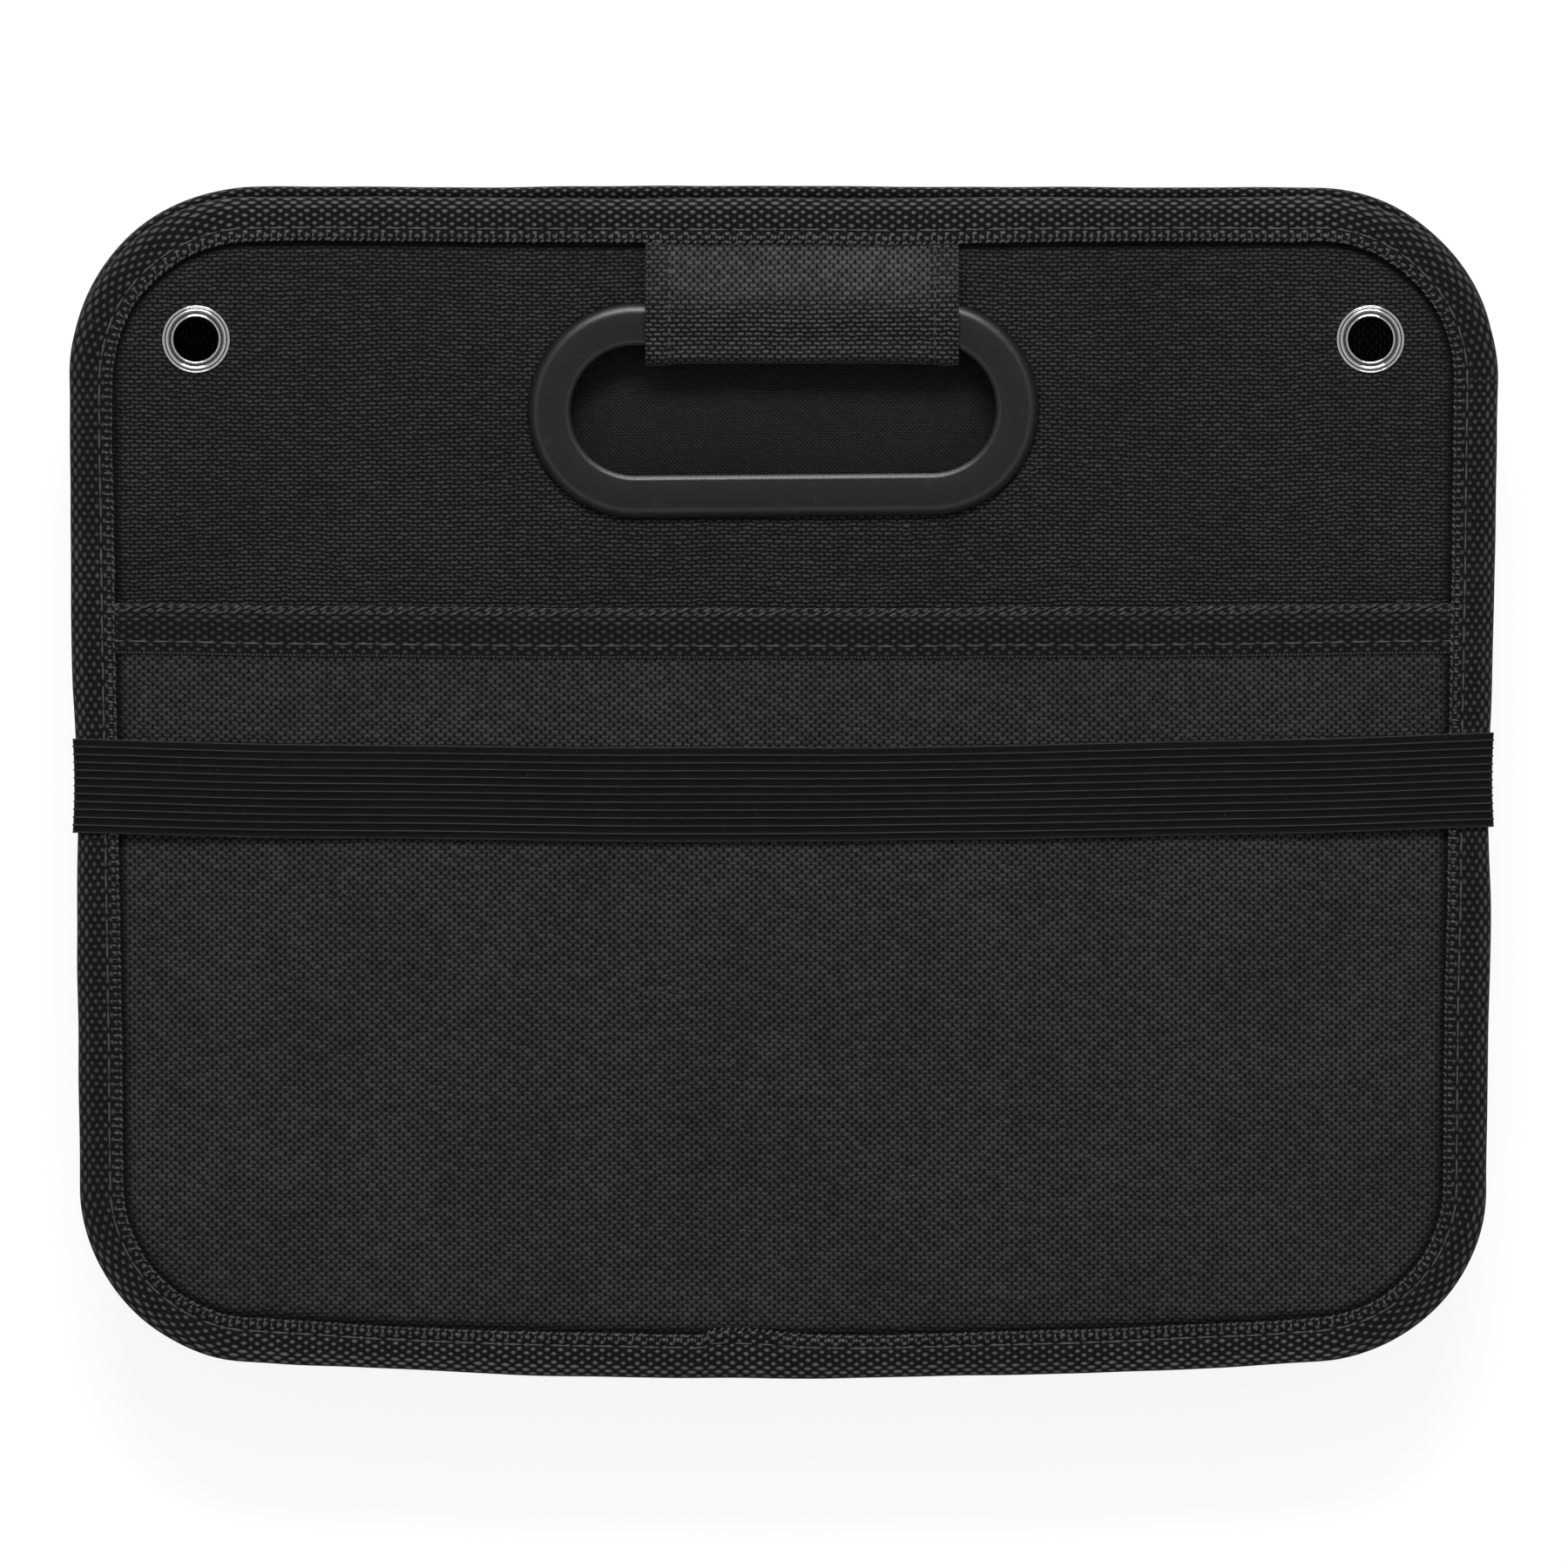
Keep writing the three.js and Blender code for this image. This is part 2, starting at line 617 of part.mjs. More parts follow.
// The elastic band: a ribbed strip carried over both pockets and round the bindings at the sides.
function elasticBand() {
  const reach = halfWidthAt(band_height) + seat_gap;
  const middle = (front_face + rear_face) / 2;
  const rise = band_proud - band_thickness - band_edge_height;
  const half_thick = pack_depth / 2 + band_edge_height;
  const straight = reach - band_bend;

  // Half of the loop, from the left end of a run to the bend after its right end. The other half is turned.
  const run = Array.from({ length: band_run_steps + 1 }, (_, i) => {
    const x = -straight + (2 * straight * i) / band_run_steps;
    const share = x / straight;
    return { x, z: half_thick + rise * (1 - share ** 4), nx: (4 * rise * share ** 3) / straight, nz: 1 };
  });
  const bend = arc(straight, half_thick - band_bend, band_bend, quarter, 0, band_bend_steps)
    .slice(1)
    .map(({ x, y, nx, ny }) => ({ x, z: y, nx, nz: ny }));
  const far_bend = arc(-straight, half_thick - band_bend, band_bend, 2 * quarter, quarter, band_bend_steps)
    .slice(0, -1)
    .map(({ x, y, nx, ny }) => ({ x, z: y, nx, nz: ny }));
  const half_loop = [...far_bend, ...run, ...bend];

  const centreAt = (x, isFront) => {
    const share = THREE.MathUtils.clamp(x / reach, -1, 1);
    const sag = isFront ? band_sag * (1 - share ** 2) : 0;
    return band_height + band_lean * share - sag;
  };
  const stations = [1, -1].flatMap((side) => half_loop.map(({ x, z, nx, nz }) => (across, out) => [
    side * (x + nx * out),
    centreAt(side * x, side > 0) + across,
    middle + side * (z + nz * out),
  ]));

  const half_band = band_width / 2;
  const pitch = band_width / band_ribs;
  const ribs = Array.from({ length: band_ribs }, (_, i) => {
    const start = -half_band + i * pitch;
    return [
      [start + pitch * 0.12, band_thickness - band_rib_depth],
      [start + pitch * 0.6, band_thickness],
    ];
  }).flat();
  const profile = [[-half_band, 0], ...ribs, [half_band, band_thickness - band_rib_depth], [half_band, 0]];
  return sweep(profile, stations, true);
}

add(root, "elastic_band", elasticBand(), elastic);

// An outline carried along X or Y. Its first coordinate runs across and its second one up.
function extrudeAlong(axis, outline, holes, from, to) {
  const shape = new THREE.Shape(outline.map(([a, b]) => new THREE.Vector2(a, b)));
  for (const hole of holes) {
    shape.holes.push(new THREE.Path(hole.map(([a, b]) => new THREE.Vector2(a, b))));
  }
  const geometry = new THREE.ExtrudeGeometry(shape, { depth: to - from, bevelEnabled: false, steps: 1 });
  if (axis === "y") {
    return geometry.rotateX(quarter).translate(0, to, 0);
  }
  const turn = new THREE.Matrix4().makeBasis(
    new THREE.Vector3(0, 1, 0), new THREE.Vector3(0, 0, 1), new THREE.Vector3(1, 0, 0),
  );
  return geometry.applyMatrix4(turn).translate(from, 0, 0);
}

// Section of a wall folded in half. u runs inwards from the panels' edge, and v is the height.
// Its outer cloth flares from each half to the binding of the panel that the half is sewn to.
function foldSection(level) {
  const top = level + fold_gap / 2;
  const bottom = level - fold_gap / 2;
  const start = sleeve_inset;
  const nose = fold_depth / 2;
  const crease = start + fold_reach - nose;
  const round = arc(crease, level, nose, quarter, -quarter, 6).map(({ x, y }) => [x, y]);
  const halves = [[start, top + half_fold], ...round, [start, bottom - half_fold]];
  const slit = [[crease - 1, bottom], [crease - 1, top]];
  const rear_flare = [
    [start, bottom - flare_cloth],
    [flare_inset + flare_cloth, flare_bottom],
    [flare_inset, flare_bottom],
    [start - flare_cloth, bottom],
  ];
  const front_flare = [
    [start - flare_cloth, top],
    [flare_inset, flare_top],
    [flare_inset + flare_cloth, flare_top],
    [start, top + flare_cloth],
  ];
  return {
    sleeve: [...halves, ...rear_flare, ...slit, ...front_flare],
    rim: [...halves, [start, bottom], ...slit, [start, top]],
    boards: [1, -1].map((sign) => {
      const near = level + sign * (fold_gap / 2 + sleeve_cloth);
      const far = near + sign * (wall_board_thickness + 2 * board_clearance);
      return { from: start + board_end_gap, to: crease - crease_margin, near, far };
    }),
  };
}

// The two cavities of a folded sleeve, or the boards that fill them with a clearance all round.
function boardSection({ from, to, near, far }, clearance) {
  const low = Math.min(near, far) + clearance;
  const high = Math.max(near, far) - clearance;
  return [
    [from + clearance, low],
    [to - clearance, low],
    [to - clearance, high],
    [from + clearance, high],
  ];
}

// A folded wall: sewn sleeve, a board in each half and, on a side wall, the bound upper rim.
// place turns a distance from the panels' edge into a coordinate across the pack.
function foldedWall(name, axis, level, place, from, to, hasRim) {
  const section = foldSection(level);
  const placed = (outline) => outline.map(([u, v]) => [place(u), v]);
  const cavities = section.boards.map((cavity) => placed(boardSection(cavity, 0)));
  add(root, `${name}_cover`, extrudeAlong(axis, placed(section.sleeve), cavities, from, to), cloth);
  section.boards.forEach((cavity, i) => {
    const outline = placed(boardSection(cavity, board_clearance));
    const side = i === 0 ? "front" : "rear";
    const geometry = extrudeAlong(axis, outline, [], from + board_end_gap, to - board_end_gap);
    add(root, `${name}_board_${side}`, geometry, board);
  });
  if (hasRim) {
    const rim_from = to + seat_gap;
    const rim = extrudeAlong(axis, placed(section.rim), [], rim_from, rim_from + rim_height);
    add(root, `${name}_rim`, rim, tape);
  }
}

const wall_from = low_corner_y + seat_gap;
const wall_to = half_height - wall_top_margin - rim_height - seat_gap;
const side_reach = low_half_width + 1;
foldedWall("left_wall", "y", left_level, (u) => -side_reach + u, wall_from, wall_to, true);
foldedWall("right_wall", "y", right_level, (u) => side_reach - u, wall_from, wall_to, true);
const base_half = low_corner_x - seat_gap;
foldedWall("base", "x", base_level, (u) => -half_height + 1 + u, -base_half, base_half, false);

// The soft corner between a side wall and the base: the same cloth, folded in round the rounded corner.
function cornerGusset(corner, side_level) {
  const steps = corner.length - 1;
  const isLeft = corner[0].x < 0;
  const depth = sleeve_inset - flare_inset;
  const profile = [
    [0, 1],
    [depth, 0],
    [0, -1],
    [flare_cloth, -1],
    [depth + 2 * flare_cloth, 0],
    [flare_cloth, 1],
  ];
  const stations = corner.map((point, i) => (across, height) => {
    const towards_base = isLeft ? i / steps : 1 - i / steps;
    const middle = THREE.MathUtils.lerp(side_level, base_level, towards_base);
    const end = height > 0 ? flare_top : flare_bottom;
    const [x, y] = insetPoint(point, flare_inset + across);
    return [x, y, THREE.MathUtils.lerp(middle, end, Math.abs(height))];
  });
  return sweep(profile, stations, false);
}

add(root, "left_corner_gusset", cornerGusset(bottom_left_corner, left_level), cloth);
add(root, "right_corner_gusset", cornerGusset(bottom_right_corner, right_level), cloth);

export default root;
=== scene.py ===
"""A folding car trunk organizer, folded flat and held shut by its elastic band."""
import math

import bpy
import numpy as np
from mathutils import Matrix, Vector, noise
from mathutils.geometry import delaunay_2d_cdt


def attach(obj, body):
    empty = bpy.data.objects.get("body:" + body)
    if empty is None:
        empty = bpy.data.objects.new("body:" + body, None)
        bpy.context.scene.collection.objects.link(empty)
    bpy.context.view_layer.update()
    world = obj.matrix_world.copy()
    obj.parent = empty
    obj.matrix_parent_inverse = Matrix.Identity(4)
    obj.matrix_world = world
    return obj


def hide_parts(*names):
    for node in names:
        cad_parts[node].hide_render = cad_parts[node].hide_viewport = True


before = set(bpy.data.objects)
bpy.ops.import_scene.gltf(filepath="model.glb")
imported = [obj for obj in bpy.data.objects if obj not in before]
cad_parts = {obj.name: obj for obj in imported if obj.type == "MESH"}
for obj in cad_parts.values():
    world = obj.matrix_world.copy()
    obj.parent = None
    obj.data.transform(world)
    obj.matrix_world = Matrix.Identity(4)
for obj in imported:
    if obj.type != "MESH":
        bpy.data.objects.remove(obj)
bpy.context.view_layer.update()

# Studio: a plain pale floor, one large soft light beyond the handle edge and a ring of white panels.
# The photograph looks straight down from far away, so a very long lens stands in for it.
MM = 0.001
PHOTO_WIDTH = 0.41706
PHOTO_CENTRE = (0.0002, -0.0006)
CAMERA_LENS = 800
SENSOR_WIDTH = 36
FRONT_FACE = 42.3
FLOOR_SIZE = 30.0
FLOOR_GREY = 0.2
FLOOR_GLOW = 0.86
OVERHEAD_GLOW = 0.14
PANEL_GLOW = 1.25
PANEL_LOW = 0.7
PANEL_HIGH = 0.86
PANEL_SOFT = 0.05
KEY_DISTANCE = 3.2
KEY_HEIGHT_DEG = 45
KEY_SIZE = (1.8, 0.72)
KEY_POWER = 82

scene = bpy.context.scene
scene.view_settings.view_transform = "Standard"

camera_data = bpy.data.cameras.new("camera")
camera_data.lens = CAMERA_LENS
camera_data.sensor_width = SENSOR_WIDTH
camera = bpy.data.objects.new("camera", camera_data)
camera.location = (*PHOTO_CENTRE, FRONT_FACE * MM + PHOTO_WIDTH * CAMERA_LENS / SENSOR_WIDTH)
scene.collection.objects.link(camera)
scene.camera = camera

key_data = bpy.data.lights.new("key", "AREA")
key_data.shape = "RECTANGLE"
key_data.size, key_data.size_y = KEY_SIZE
key_data.energy = KEY_POWER
key = bpy.data.objects.new("key", key_data)
key_angle = math.radians(KEY_HEIGHT_DEG)
key.location = (0, KEY_DISTANCE * math.cos(key_angle), KEY_DISTANCE * math.sin(key_angle))
key.rotation_euler = (key_angle - math.pi / 2, 0, 0)
scene.collection.objects.link(key)


class Value:
    """A value in a shader tree. Plain arithmetic on it adds Math nodes to the tree."""

    def __init__(self, socket):
        self.socket = socket
        self.tree = socket.id_data

    def math(self, operation, *others):
        """A Math node over this value and other values or numbers."""
        return add_node(self.tree, "ShaderNodeMath", dict(enumerate((self, *others))), operation=operation)

    def __add__(self, other):
        return self.math("ADD", other)

    def __sub__(self, other):
        return self.math("SUBTRACT", other)

    def __mul__(self, other):
        return self.math("MULTIPLY", other)

    def __truediv__(self, other):
        return self.math("DIVIDE", other)

    def __rsub__(self, other):
        return add_node(self.tree, "ShaderNodeMath", {0: other, 1: self}, operation="SUBTRACT")

    def __rtruediv__(self, other):
        return add_node(self.tree, "ShaderNodeMath", {0: other, 1: self}, operation="DIVIDE")

    def __abs__(self):
        return self.math("ABSOLUTE")


def plug(value, socket):
    """Links a value to a socket, or writes a plain number, colour or the like on it."""
    if isinstance(value, Value):
        socket.id_data.links.new(value.socket, socket)
    else:
        socket.default_value = value


def add_node(tree, kind, inputs=(), output=0, **settings):
    """Adds a node with its settings and inputs, and gives one of its outputs."""
    node = tree.nodes.new(kind)
    for label, value in settings.items():
        setattr(node, label, value)
    for label, value in dict(inputs).items():
        plug(value, node.inputs[label])
    return Value(node.outputs[output])


def seen_directly(tree):
    """One for rays from the camera, a mirror or glass, and nothing for light that falls on a surface."""
    path = tree.nodes.new("ShaderNodeLightPath").outputs
    seen, mirrored, through = (Value(path[f"Is {kind} Ray"]) for kind in ("Camera", "Glossy", "Transmission"))
    return seen.math("MAXIMUM", mirrored).math("MAXIMUM", through)


def fade(value, start, end):
    """Nought at start, one at end, and a smooth change between them."""
    ends = {"Value": value, "From Min": start, "From Max": end}
    return add_node(value.tree, "ShaderNodeMapRange", ends, "Result", interpolation_type="SMOOTHSTEP")


world = bpy.data.worlds.new("surround")
world.use_nodes = True
world_tree = world.node_tree
background = world_tree.nodes["Background"]
background.inputs["Color"].default_value = (1, 1, 1, 1)
world_place = add_node(world_tree, "ShaderNodeTexCoord", output="Generated")
world_height = add_node(world_tree, "ShaderNodeSeparateXYZ", {0: world_place}, "Z")
over_low = fade(world_height, PANEL_LOW - PANEL_SOFT, PANEL_LOW)
under_high = fade(world_height, PANEL_HIGH + PANEL_SOFT, PANEL_HIGH)
surround_glow = over_low * under_high * (PANEL_GLOW - OVERHEAD_GLOW) + OVERHEAD_GLOW
plug(surround_glow, background.inputs["Strength"])
scene.world = world

floor_finish = bpy.data.materials.new("floor")
floor_finish.use_nodes = True
floor_tree = floor_finish.node_tree
floor_shader = floor_tree.nodes["Principled BSDF"]
floor_shader.inputs["Base Color"].default_value = (FLOOR_GREY,) * 3 + (1,)
floor_shader.inputs["Roughness"].default_value = 1
floor_shader.inputs["Specular IOR Level"].default_value = 0
floor_shader.inputs["Emission Color"].default_value = (1, 1, 1, 1)
plug(seen_directly(floor_tree) * FLOOR_GLOW, floor_shader.inputs["Emission Strength"])

floor_mesh = bpy.data.meshes.new("floor")
half_floor = FLOOR_SIZE / 2
floor_corners = [(-half_floor, -half_floor, 0), (half_floor, -half_floor, 0)]
floor_corners += [(half_floor, half_floor, 0), (-half_floor, half_floor, 0)]
floor_mesh.from_pydata(floor_corners, [], [(0, 1, 2, 3)])
floor_mesh.materials.append(floor_finish)
floor = bpy.data.objects.new("floor", floor_mesh)
scene.collection.objects.link(floor)


# Cover cloth: the coarse plain-woven polyester of the panels, drawn over the stiffening board.
# It is one sheet a panel, cut through for the hand hole and the eyelets, and caught under the binding.
PANEL_WIDTH = 380
PANEL_HEIGHT = 314
PANEL_TAPER = 3
TOP_CORNER = 48.5
BOTTOM_CORNER = 47
BOTTOM_BOW = 2200
PANEL_SLIP = 3.4
REAR_FACE = 4.3
PANEL_DEPTH = 4.0
PLY_GAP = 0.1
COVER_THICKNESS = 0.8
COVER_EDGE = 1.5
COVER_TUCK = 0.6
TUCK_PLACE = 11.6
TUCK_GUIDES = (10.9, 12.3, 13.2, 14.3)
TUCK_FLAT = 0.85
TUCK_FADE = 2.0
TOP_SPREAD = 0.9
TOP_SPREAD_REACH = 75
SHEET_SPACING = 4.0
ROW_SHARE = 0.866
CLEAR_SHARE = 0.55
ONLY_INSIDE = 1
JOIN_DISTANCE = 1e-6
RING_LENGTH = 136
RING_DEPTH = 57.4
RING_BAR = 11.6
RING_BELOW_TOP = 56.2
RING_TURN = math.radians(0.5)
BARREL_WALL = 2.0
SEAT_GAP = 0.3
EYELET_X = 156.2
EYELET_BELOW_TOP = 37.6
EYELET_BARREL = 7.2
COVER_DARK = (0.0035, 0.0035, 0.0036)
COVER_LIGHT = (0.043, 0.043, 0.044)
LINT_COLOUR = (0.16, 0.16, 0.16)
# How much the painted shade in the tuck beside the binding darkens the cloth.
TUCK_PAINTED_SHADE = 0.95
SHARP_ANGLE = math.radians(48)
QUARTER = math.pi / 2

half_width = PANEL_WIDTH / 2
half_height = PANEL_HEIGHT / 2
low_half_width = half_width - PANEL_TAPER
low_corner_x = low_half_width - BOTTOM_CORNER
bottom_centre_y = BOTTOM_BOW - half_height
low_corner_y = bottom_centre_y - math.sqrt((BOTTOM_BOW - BOTTOM_CORNER) ** 2 - low_corner_x**2)
high_corner_x = half_width - TOP_CORNER
high_corner_y = half_height - TOP_CORNER
bottom_lean = math.asin(low_corner_x / (BOTTOM_BOW - BOTTOM_CORNER))
ring_y = half_height - RING_BELOW_TOP
eyelet_y = half_height - EYELET_BELOW_TOP
SIDES = ("front", "rear")


def on_panel(side, points):
    """Points of a panel, with its cover's face at height zero, moved to where that panel lies."""
    x, y, z = np.moveaxis(np.asarray(points, float), -1, 0)
    if side == "front":
        return np.stack([x, y - PANEL_SLIP / 2, z + FRONT_FACE], -1)
    return np.stack([-x, y + PANEL_SLIP / 2, REAR_FACE - z], -1)


def arc(cx, cy, radius, start, end, step):
    """Points of an arc about step apart, each with its outward direction."""
    count = max(2, round(abs(end - start) * radius / step))
    angles = np.linspace(start, end, count + 1)
    nx, ny = np.cos(angles), np.sin(angles)
    return np.stack([cx + radius * nx, cy + radius * ny, nx, ny], -1)


def half_width_at(y):
    """Half the panel's width, which draws in from the upper corners to the lower ones."""
    share = (np.asarray(y) - low_corner_y) / (high_corner_y - low_corner_y)
    return low_half_width + PANEL_TAPER * np.clip(share, 0, 1)


def straight(start, end, outward, step):
    """Points of a straight line about step apart, without its ends, each with the outward direction."""
    line = np.linspace(start, end, round(math.dist(start, end) / step) + 1)[1:-1]
    return np.column_stack([line, np.broadcast_to(outward, line.shape)])


def low_corner(sign, step):
    """Points of the panel's lower left or lower right corner."""
    lean = 3 * QUARTER + sign * bottom_lean
    start, end = (math.pi, lean) if sign < 0 else (lean, 2 * math.pi)
    return arc(sign * low_corner_x, low_corner_y, BOTTOM_CORNER, start, end, step)


def panel_outline(step):
    """The panel's edge, counterclockwise from the upper right corner, with outward directions."""
    x, y = high_corner_x, high_corner_y
    bottom = arc(0, bottom_centre_y, BOTTOM_BOW, 3 * QUARTER - bottom_lean, 3 * QUARTER + bottom_lean, step)
    return np.concatenate([
        arc(x, y, TOP_CORNER, 0, QUARTER, step),
        straight((x, half_height), (-x, half_height), (0, 1), step),
        arc(-x, y, TOP_CORNER, QUARTER, math.pi, step),
        straight((-half_width, y), (-low_half_width, low_corner_y), (-1, 0), step),
        low_corner(-1, step),
        bottom[1:-1],
        low_corner(1, step),
        straight((low_half_width, low_corner_y), (half_width, y), (1, 0), step),
    ])


def ring_outline(step):
    """The handle ring's edge: a stadium, turned a little as the real one sits."""
    end = RING_DEPTH / 2
    centre = RING_LENGTH / 2 - end
    loop = np.concatenate([
        arc(centre, 0, end, -QUARTER, QUARTER, step / 2),
        straight((centre, end), (-centre, end), (0, 1), step),
        arc(-centre, 0, end, QUARTER, 3 * QUARTER, step / 2),
        straight((-centre, -end), (centre, -end), (0, -1), step),
    ])
    cosine, sine = math.cos(RING_TURN), math.sin(RING_TURN)
    turn = np.array([[cosine, sine], [-sine, cosine]])
    return np.concatenate([loop[:, :2] @ turn + [0, ring_y], loop[:, 2:] @ turn], -1)


def inset(outline, distance):
    """An outline moved inwards by a distance, or by one distance a point."""
    return outline[:, :2] - outline[:, 2:] * np.reshape(distance, (-1, 1))


def is_inside(points, loop):
    """Which points lie inside a closed loop, by counting the edges that a ray crosses."""
    x, y = points[:, 0], points[:, 1]
    inside = np.zeros(len(points), bool)
    for (x0, y0), (x1, y1) in zip(loop, np.roll(loop, -1, 0)):
        spans = (y0 > y) != (y1 > y)
        if spans.any():
            inside ^= spans & (x < (x1 - x0) * (y - y0) / (y1 - y0 + 1e-12) + x0)
    return inside


def inset_at(x, y):
    """How far a point lies inside the panel's edge."""
    across = np.abs(x)
    low_round = BOTTOM_CORNER - np.hypot(across - low_corner_x, y - low_corner_y)
    high_round = TOP_CORNER - np.hypot(across - high_corner_x, y - high_corner_y)
    from_ends = np.minimum(BOTTOM_BOW - np.hypot(x, y - bottom_centre_y), half_height - y)
    nearest = np.minimum(half_width_at(y) - across, from_ends)
    nearest = np.where((across > high_corner_x) & (y > high_corner_y), high_round, nearest)
    return np.where((across > low_corner_x) & (y < low_corner_y), low_round, nearest)


def is_filled(points, loops):
    """Which points lie inside the first loop and outside the others."""
    keep = is_inside(points, loops[0])
    for hole in loops[1:]:
        keep &= ~is_inside(points, hole)
    return keep


def fill(points, loops):
    """Points and triangles between the first loop and the others; the points start with the loops' own."""
    edges = []
    for loop in loops:
        first = len(edges)
        edges += [(first + i, first + (i + 1) % len(loop)) for i in range(len(loop))]
    made = delaunay_2d_cdt([Vector(p) for p in points], edges, [], ONLY_INSIDE, JOIN_DISTANCE)
    flat = np.array([tuple(p) for p in made[0]])
    triangles = np.array([face for face in made[2] if len(face) == 3])
    return flat, triangles[is_filled(flat[triangles].mean(1), loops)]


def flat_triangles(loops, spacing, guides=()):
    """Points and triangles that fill the first loop, leave the others open and follow the guides."""
    low, high = loops[0].min(0), loops[0].max(0)
    grid = []
    for i, y in enumerate(np.arange(low[1] + spacing, high[1], spacing * ROW_SHARE)):
        xs = np.arange(low[0] + spacing * (0.5 + 0.5 * (i % 2)), high[0], spacing)
        grid.append(np.stack([xs, np.full_like(xs, y)], -1))
    inner = np.concatenate(grid)
    inner = inner[is_filled(inner, loops)]
    rim = np.concatenate([*loops, *guides])
    reach = np.array([np.min((rim[:, 0] - x) ** 2 + (rim[:, 1] - y) ** 2) for x, y in inner])
    return fill(np.concatenate([rim, inner[reach > (CLEAR_SHARE * spacing) ** 2]]), loops)


def sheet_faces(flat, triangles):
    """Faces of a closed sheet whose back repeats the points of its front, joined along its free edges."""
    count = len(flat)
    faces = [tuple(t) for t in triangles.tolist()]
    directed = {(t[i], t[(i + 1) % 3]) for t in faces for i in range(3)}
    free = [edge for edge in directed if edge[::-1] not in directed]
    backs = [(a + count, c + count, b + count) for a, b, c in faces]
    walls = [(b, a, a + count, b + count) for a, b in sorted(free)]
    return faces + backs + walls


def make_piece(name, points, faces, uvs, material, nodes=()):
    """A closed piece from points in millimetres, with a UV map in metres, riding on the pack."""
    points = np.asarray(points, float)
    volume = 0.0
    for face in faces:
        first = points[face[0]]
        for i in range(1, len(face) - 1):
            volume += float(np.dot(first, np.cross(points[face[i]], points[face[i + 1]])))
    if volume < 0:
        faces = [tuple(face[::-1]) for face in faces]
        uvs = [uv[::-1] for uv in uvs]
    mesh = bpy.data.meshes.new(name)
    mesh.from_pydata((points * MM).tolist(), [], [tuple(face) for face in faces])
    layer = mesh.uv_layers.new(name="cloth")
    layer.data.foreach_set("uv", np.concatenate([np.ravel(uv) for uv in uvs]) * MM)
    mesh.polygons.foreach_set("use_smooth", [True] * len(mesh.polygons))
    mesh.set_sharp_from_angle(angle=SHARP_ANGLE)
    mesh.materials.append(material)
    piece = bpy.data.objects.new(name, mesh)
    scene.collection.objects.link(piece)
    return seat_piece(piece, nodes)


def seat_piece(piece, nodes=()):
    """Says what a piece rides on, and hides the solids that it stands for."""
    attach(piece, "root")
    if nodes:
        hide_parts(*nodes)
    return piece


def mark_points(piece, share):
    """Keeps on each point how much painted shade its material puts there."""
    layer = piece.data.attributes.new("pressed", "FLOAT", "POINT")
    layer.data.foreach_set("value", np.asarray(share, dtype=np.float32))


def top_spread(x, y):
    """How much wider the binding reaches over the panel in the middle of the top edge."""
    return TOP_SPREAD * np.exp(-((x / TOP_SPREAD_REACH) ** 2)) * (y > high_corner_y)


def tucked(x, y, depth):
    """How deep a sheet's face sinks in along the binding, up to a depth; at a depth of one it is the painted
    shade there.
    """
    away = np.abs(inset_at(x, y) - TUCK_PLACE - top_spread(x, y))
    return depth * (1 - np.clip((away - TUCK_FLAT) / TUCK_FADE, 0, 1)) ** 1.5


def make_sheet(name, side, loops, height, thickness, material, nodes, guides=(), tuck=0.0):
    """A sheet on a panel: height gives its face's height, and its back lies its thickness lower."""
    flat, triangles = flat_triangles(loops, SHEET_SPACING, guides)
    top = height(flat[:, 0], flat[:, 1])
    face = np.column_stack([flat, top - tucked(*flat.T, tuck)])
    back = np.column_stack([flat, top - thickness])
    points = on_panel(side, np.concatenate([face, back]))
    faces = sheet_faces(flat, triangles)
    spread = np.concatenate([flat, flat])
    uvs = [spread[list(corners)] for corners in faces]
    piece = make_piece(name, points, faces, uvs, material, nodes)
    # The tuck beside the binding is kept on the points as painted shade, which darkens the cloth there.
    share = tucked(*spread.T, 1.0) if tuck else np.zeros(len(spread))
    mark_points(piece, share)
    return piece


def ripple(x, y, size, seed):
    """Smooth unevenness between -1 and 1, with humps about size apart."""
    pairs = zip(np.ravel(x) / size, np.ravel(y) / size)
    values = [noise.noise(Vector((a, b, seed))) for a, b in pairs]
    return np.reshape(values, np.shape(x))


def shader_group(name, build, **inputs):
    """A shader group with named inputs, whose outputs are the values by name that build gives."""
    tree = bpy.data.node_groups.new(name, "ShaderNodeTree")
    tree.interface.new_socket("Position", in_out="INPUT", socket_type="NodeSocketVector")
    for label, value in inputs.items():
        socket = tree.interface.new_socket(
            label.replace("_", " "), in_out="INPUT", socket_type="NodeSocketFloat",
        )
        socket.default_value = value
    given = tree.nodes.new("NodeGroupInput").outputs
    made = build({socket.name: Value(socket) for socket in given})
    for label in made:
        tree.interface.new_socket(label, in_out="OUTPUT", socket_type="NodeSocketFloat")
    results = tree.nodes.new("NodeGroupOutput").inputs
    for label, value in made.items():
        plug(value, results[label])
    return tree


def in_millimetres(position):
    """A position in millimetres, with its X and Y."""
    tree = position.tree
    scaled = add_node(tree, "ShaderNodeVectorMath", {0: position, "Scale": 1000}, operation="SCALE")
    split = tree.nodes.new("ShaderNodeSeparateXYZ")
    plug(scaled, split.inputs[0])
    return scaled, Value(split.outputs["X"]), Value(split.outputs["Y"])


def cloud(position, scale, detail=2.0):
    """A noise texture's value."""
    inputs = {"Vector": position, "Scale": scale, "Detail": detail}
    return add_node(position.tree, "ShaderNodeTexNoise", inputs, "Fac")


def chance(x, y):
    """A random number for each whole pair of x and y."""
    pair = add_node(x.tree, "ShaderNodeCombineXYZ", {"X": x, "Y": y})
    return add_node(x.tree, "ShaderNodeTexWhiteNoise", {"Vector": pair}, "Value", noise_dimensions="2D")


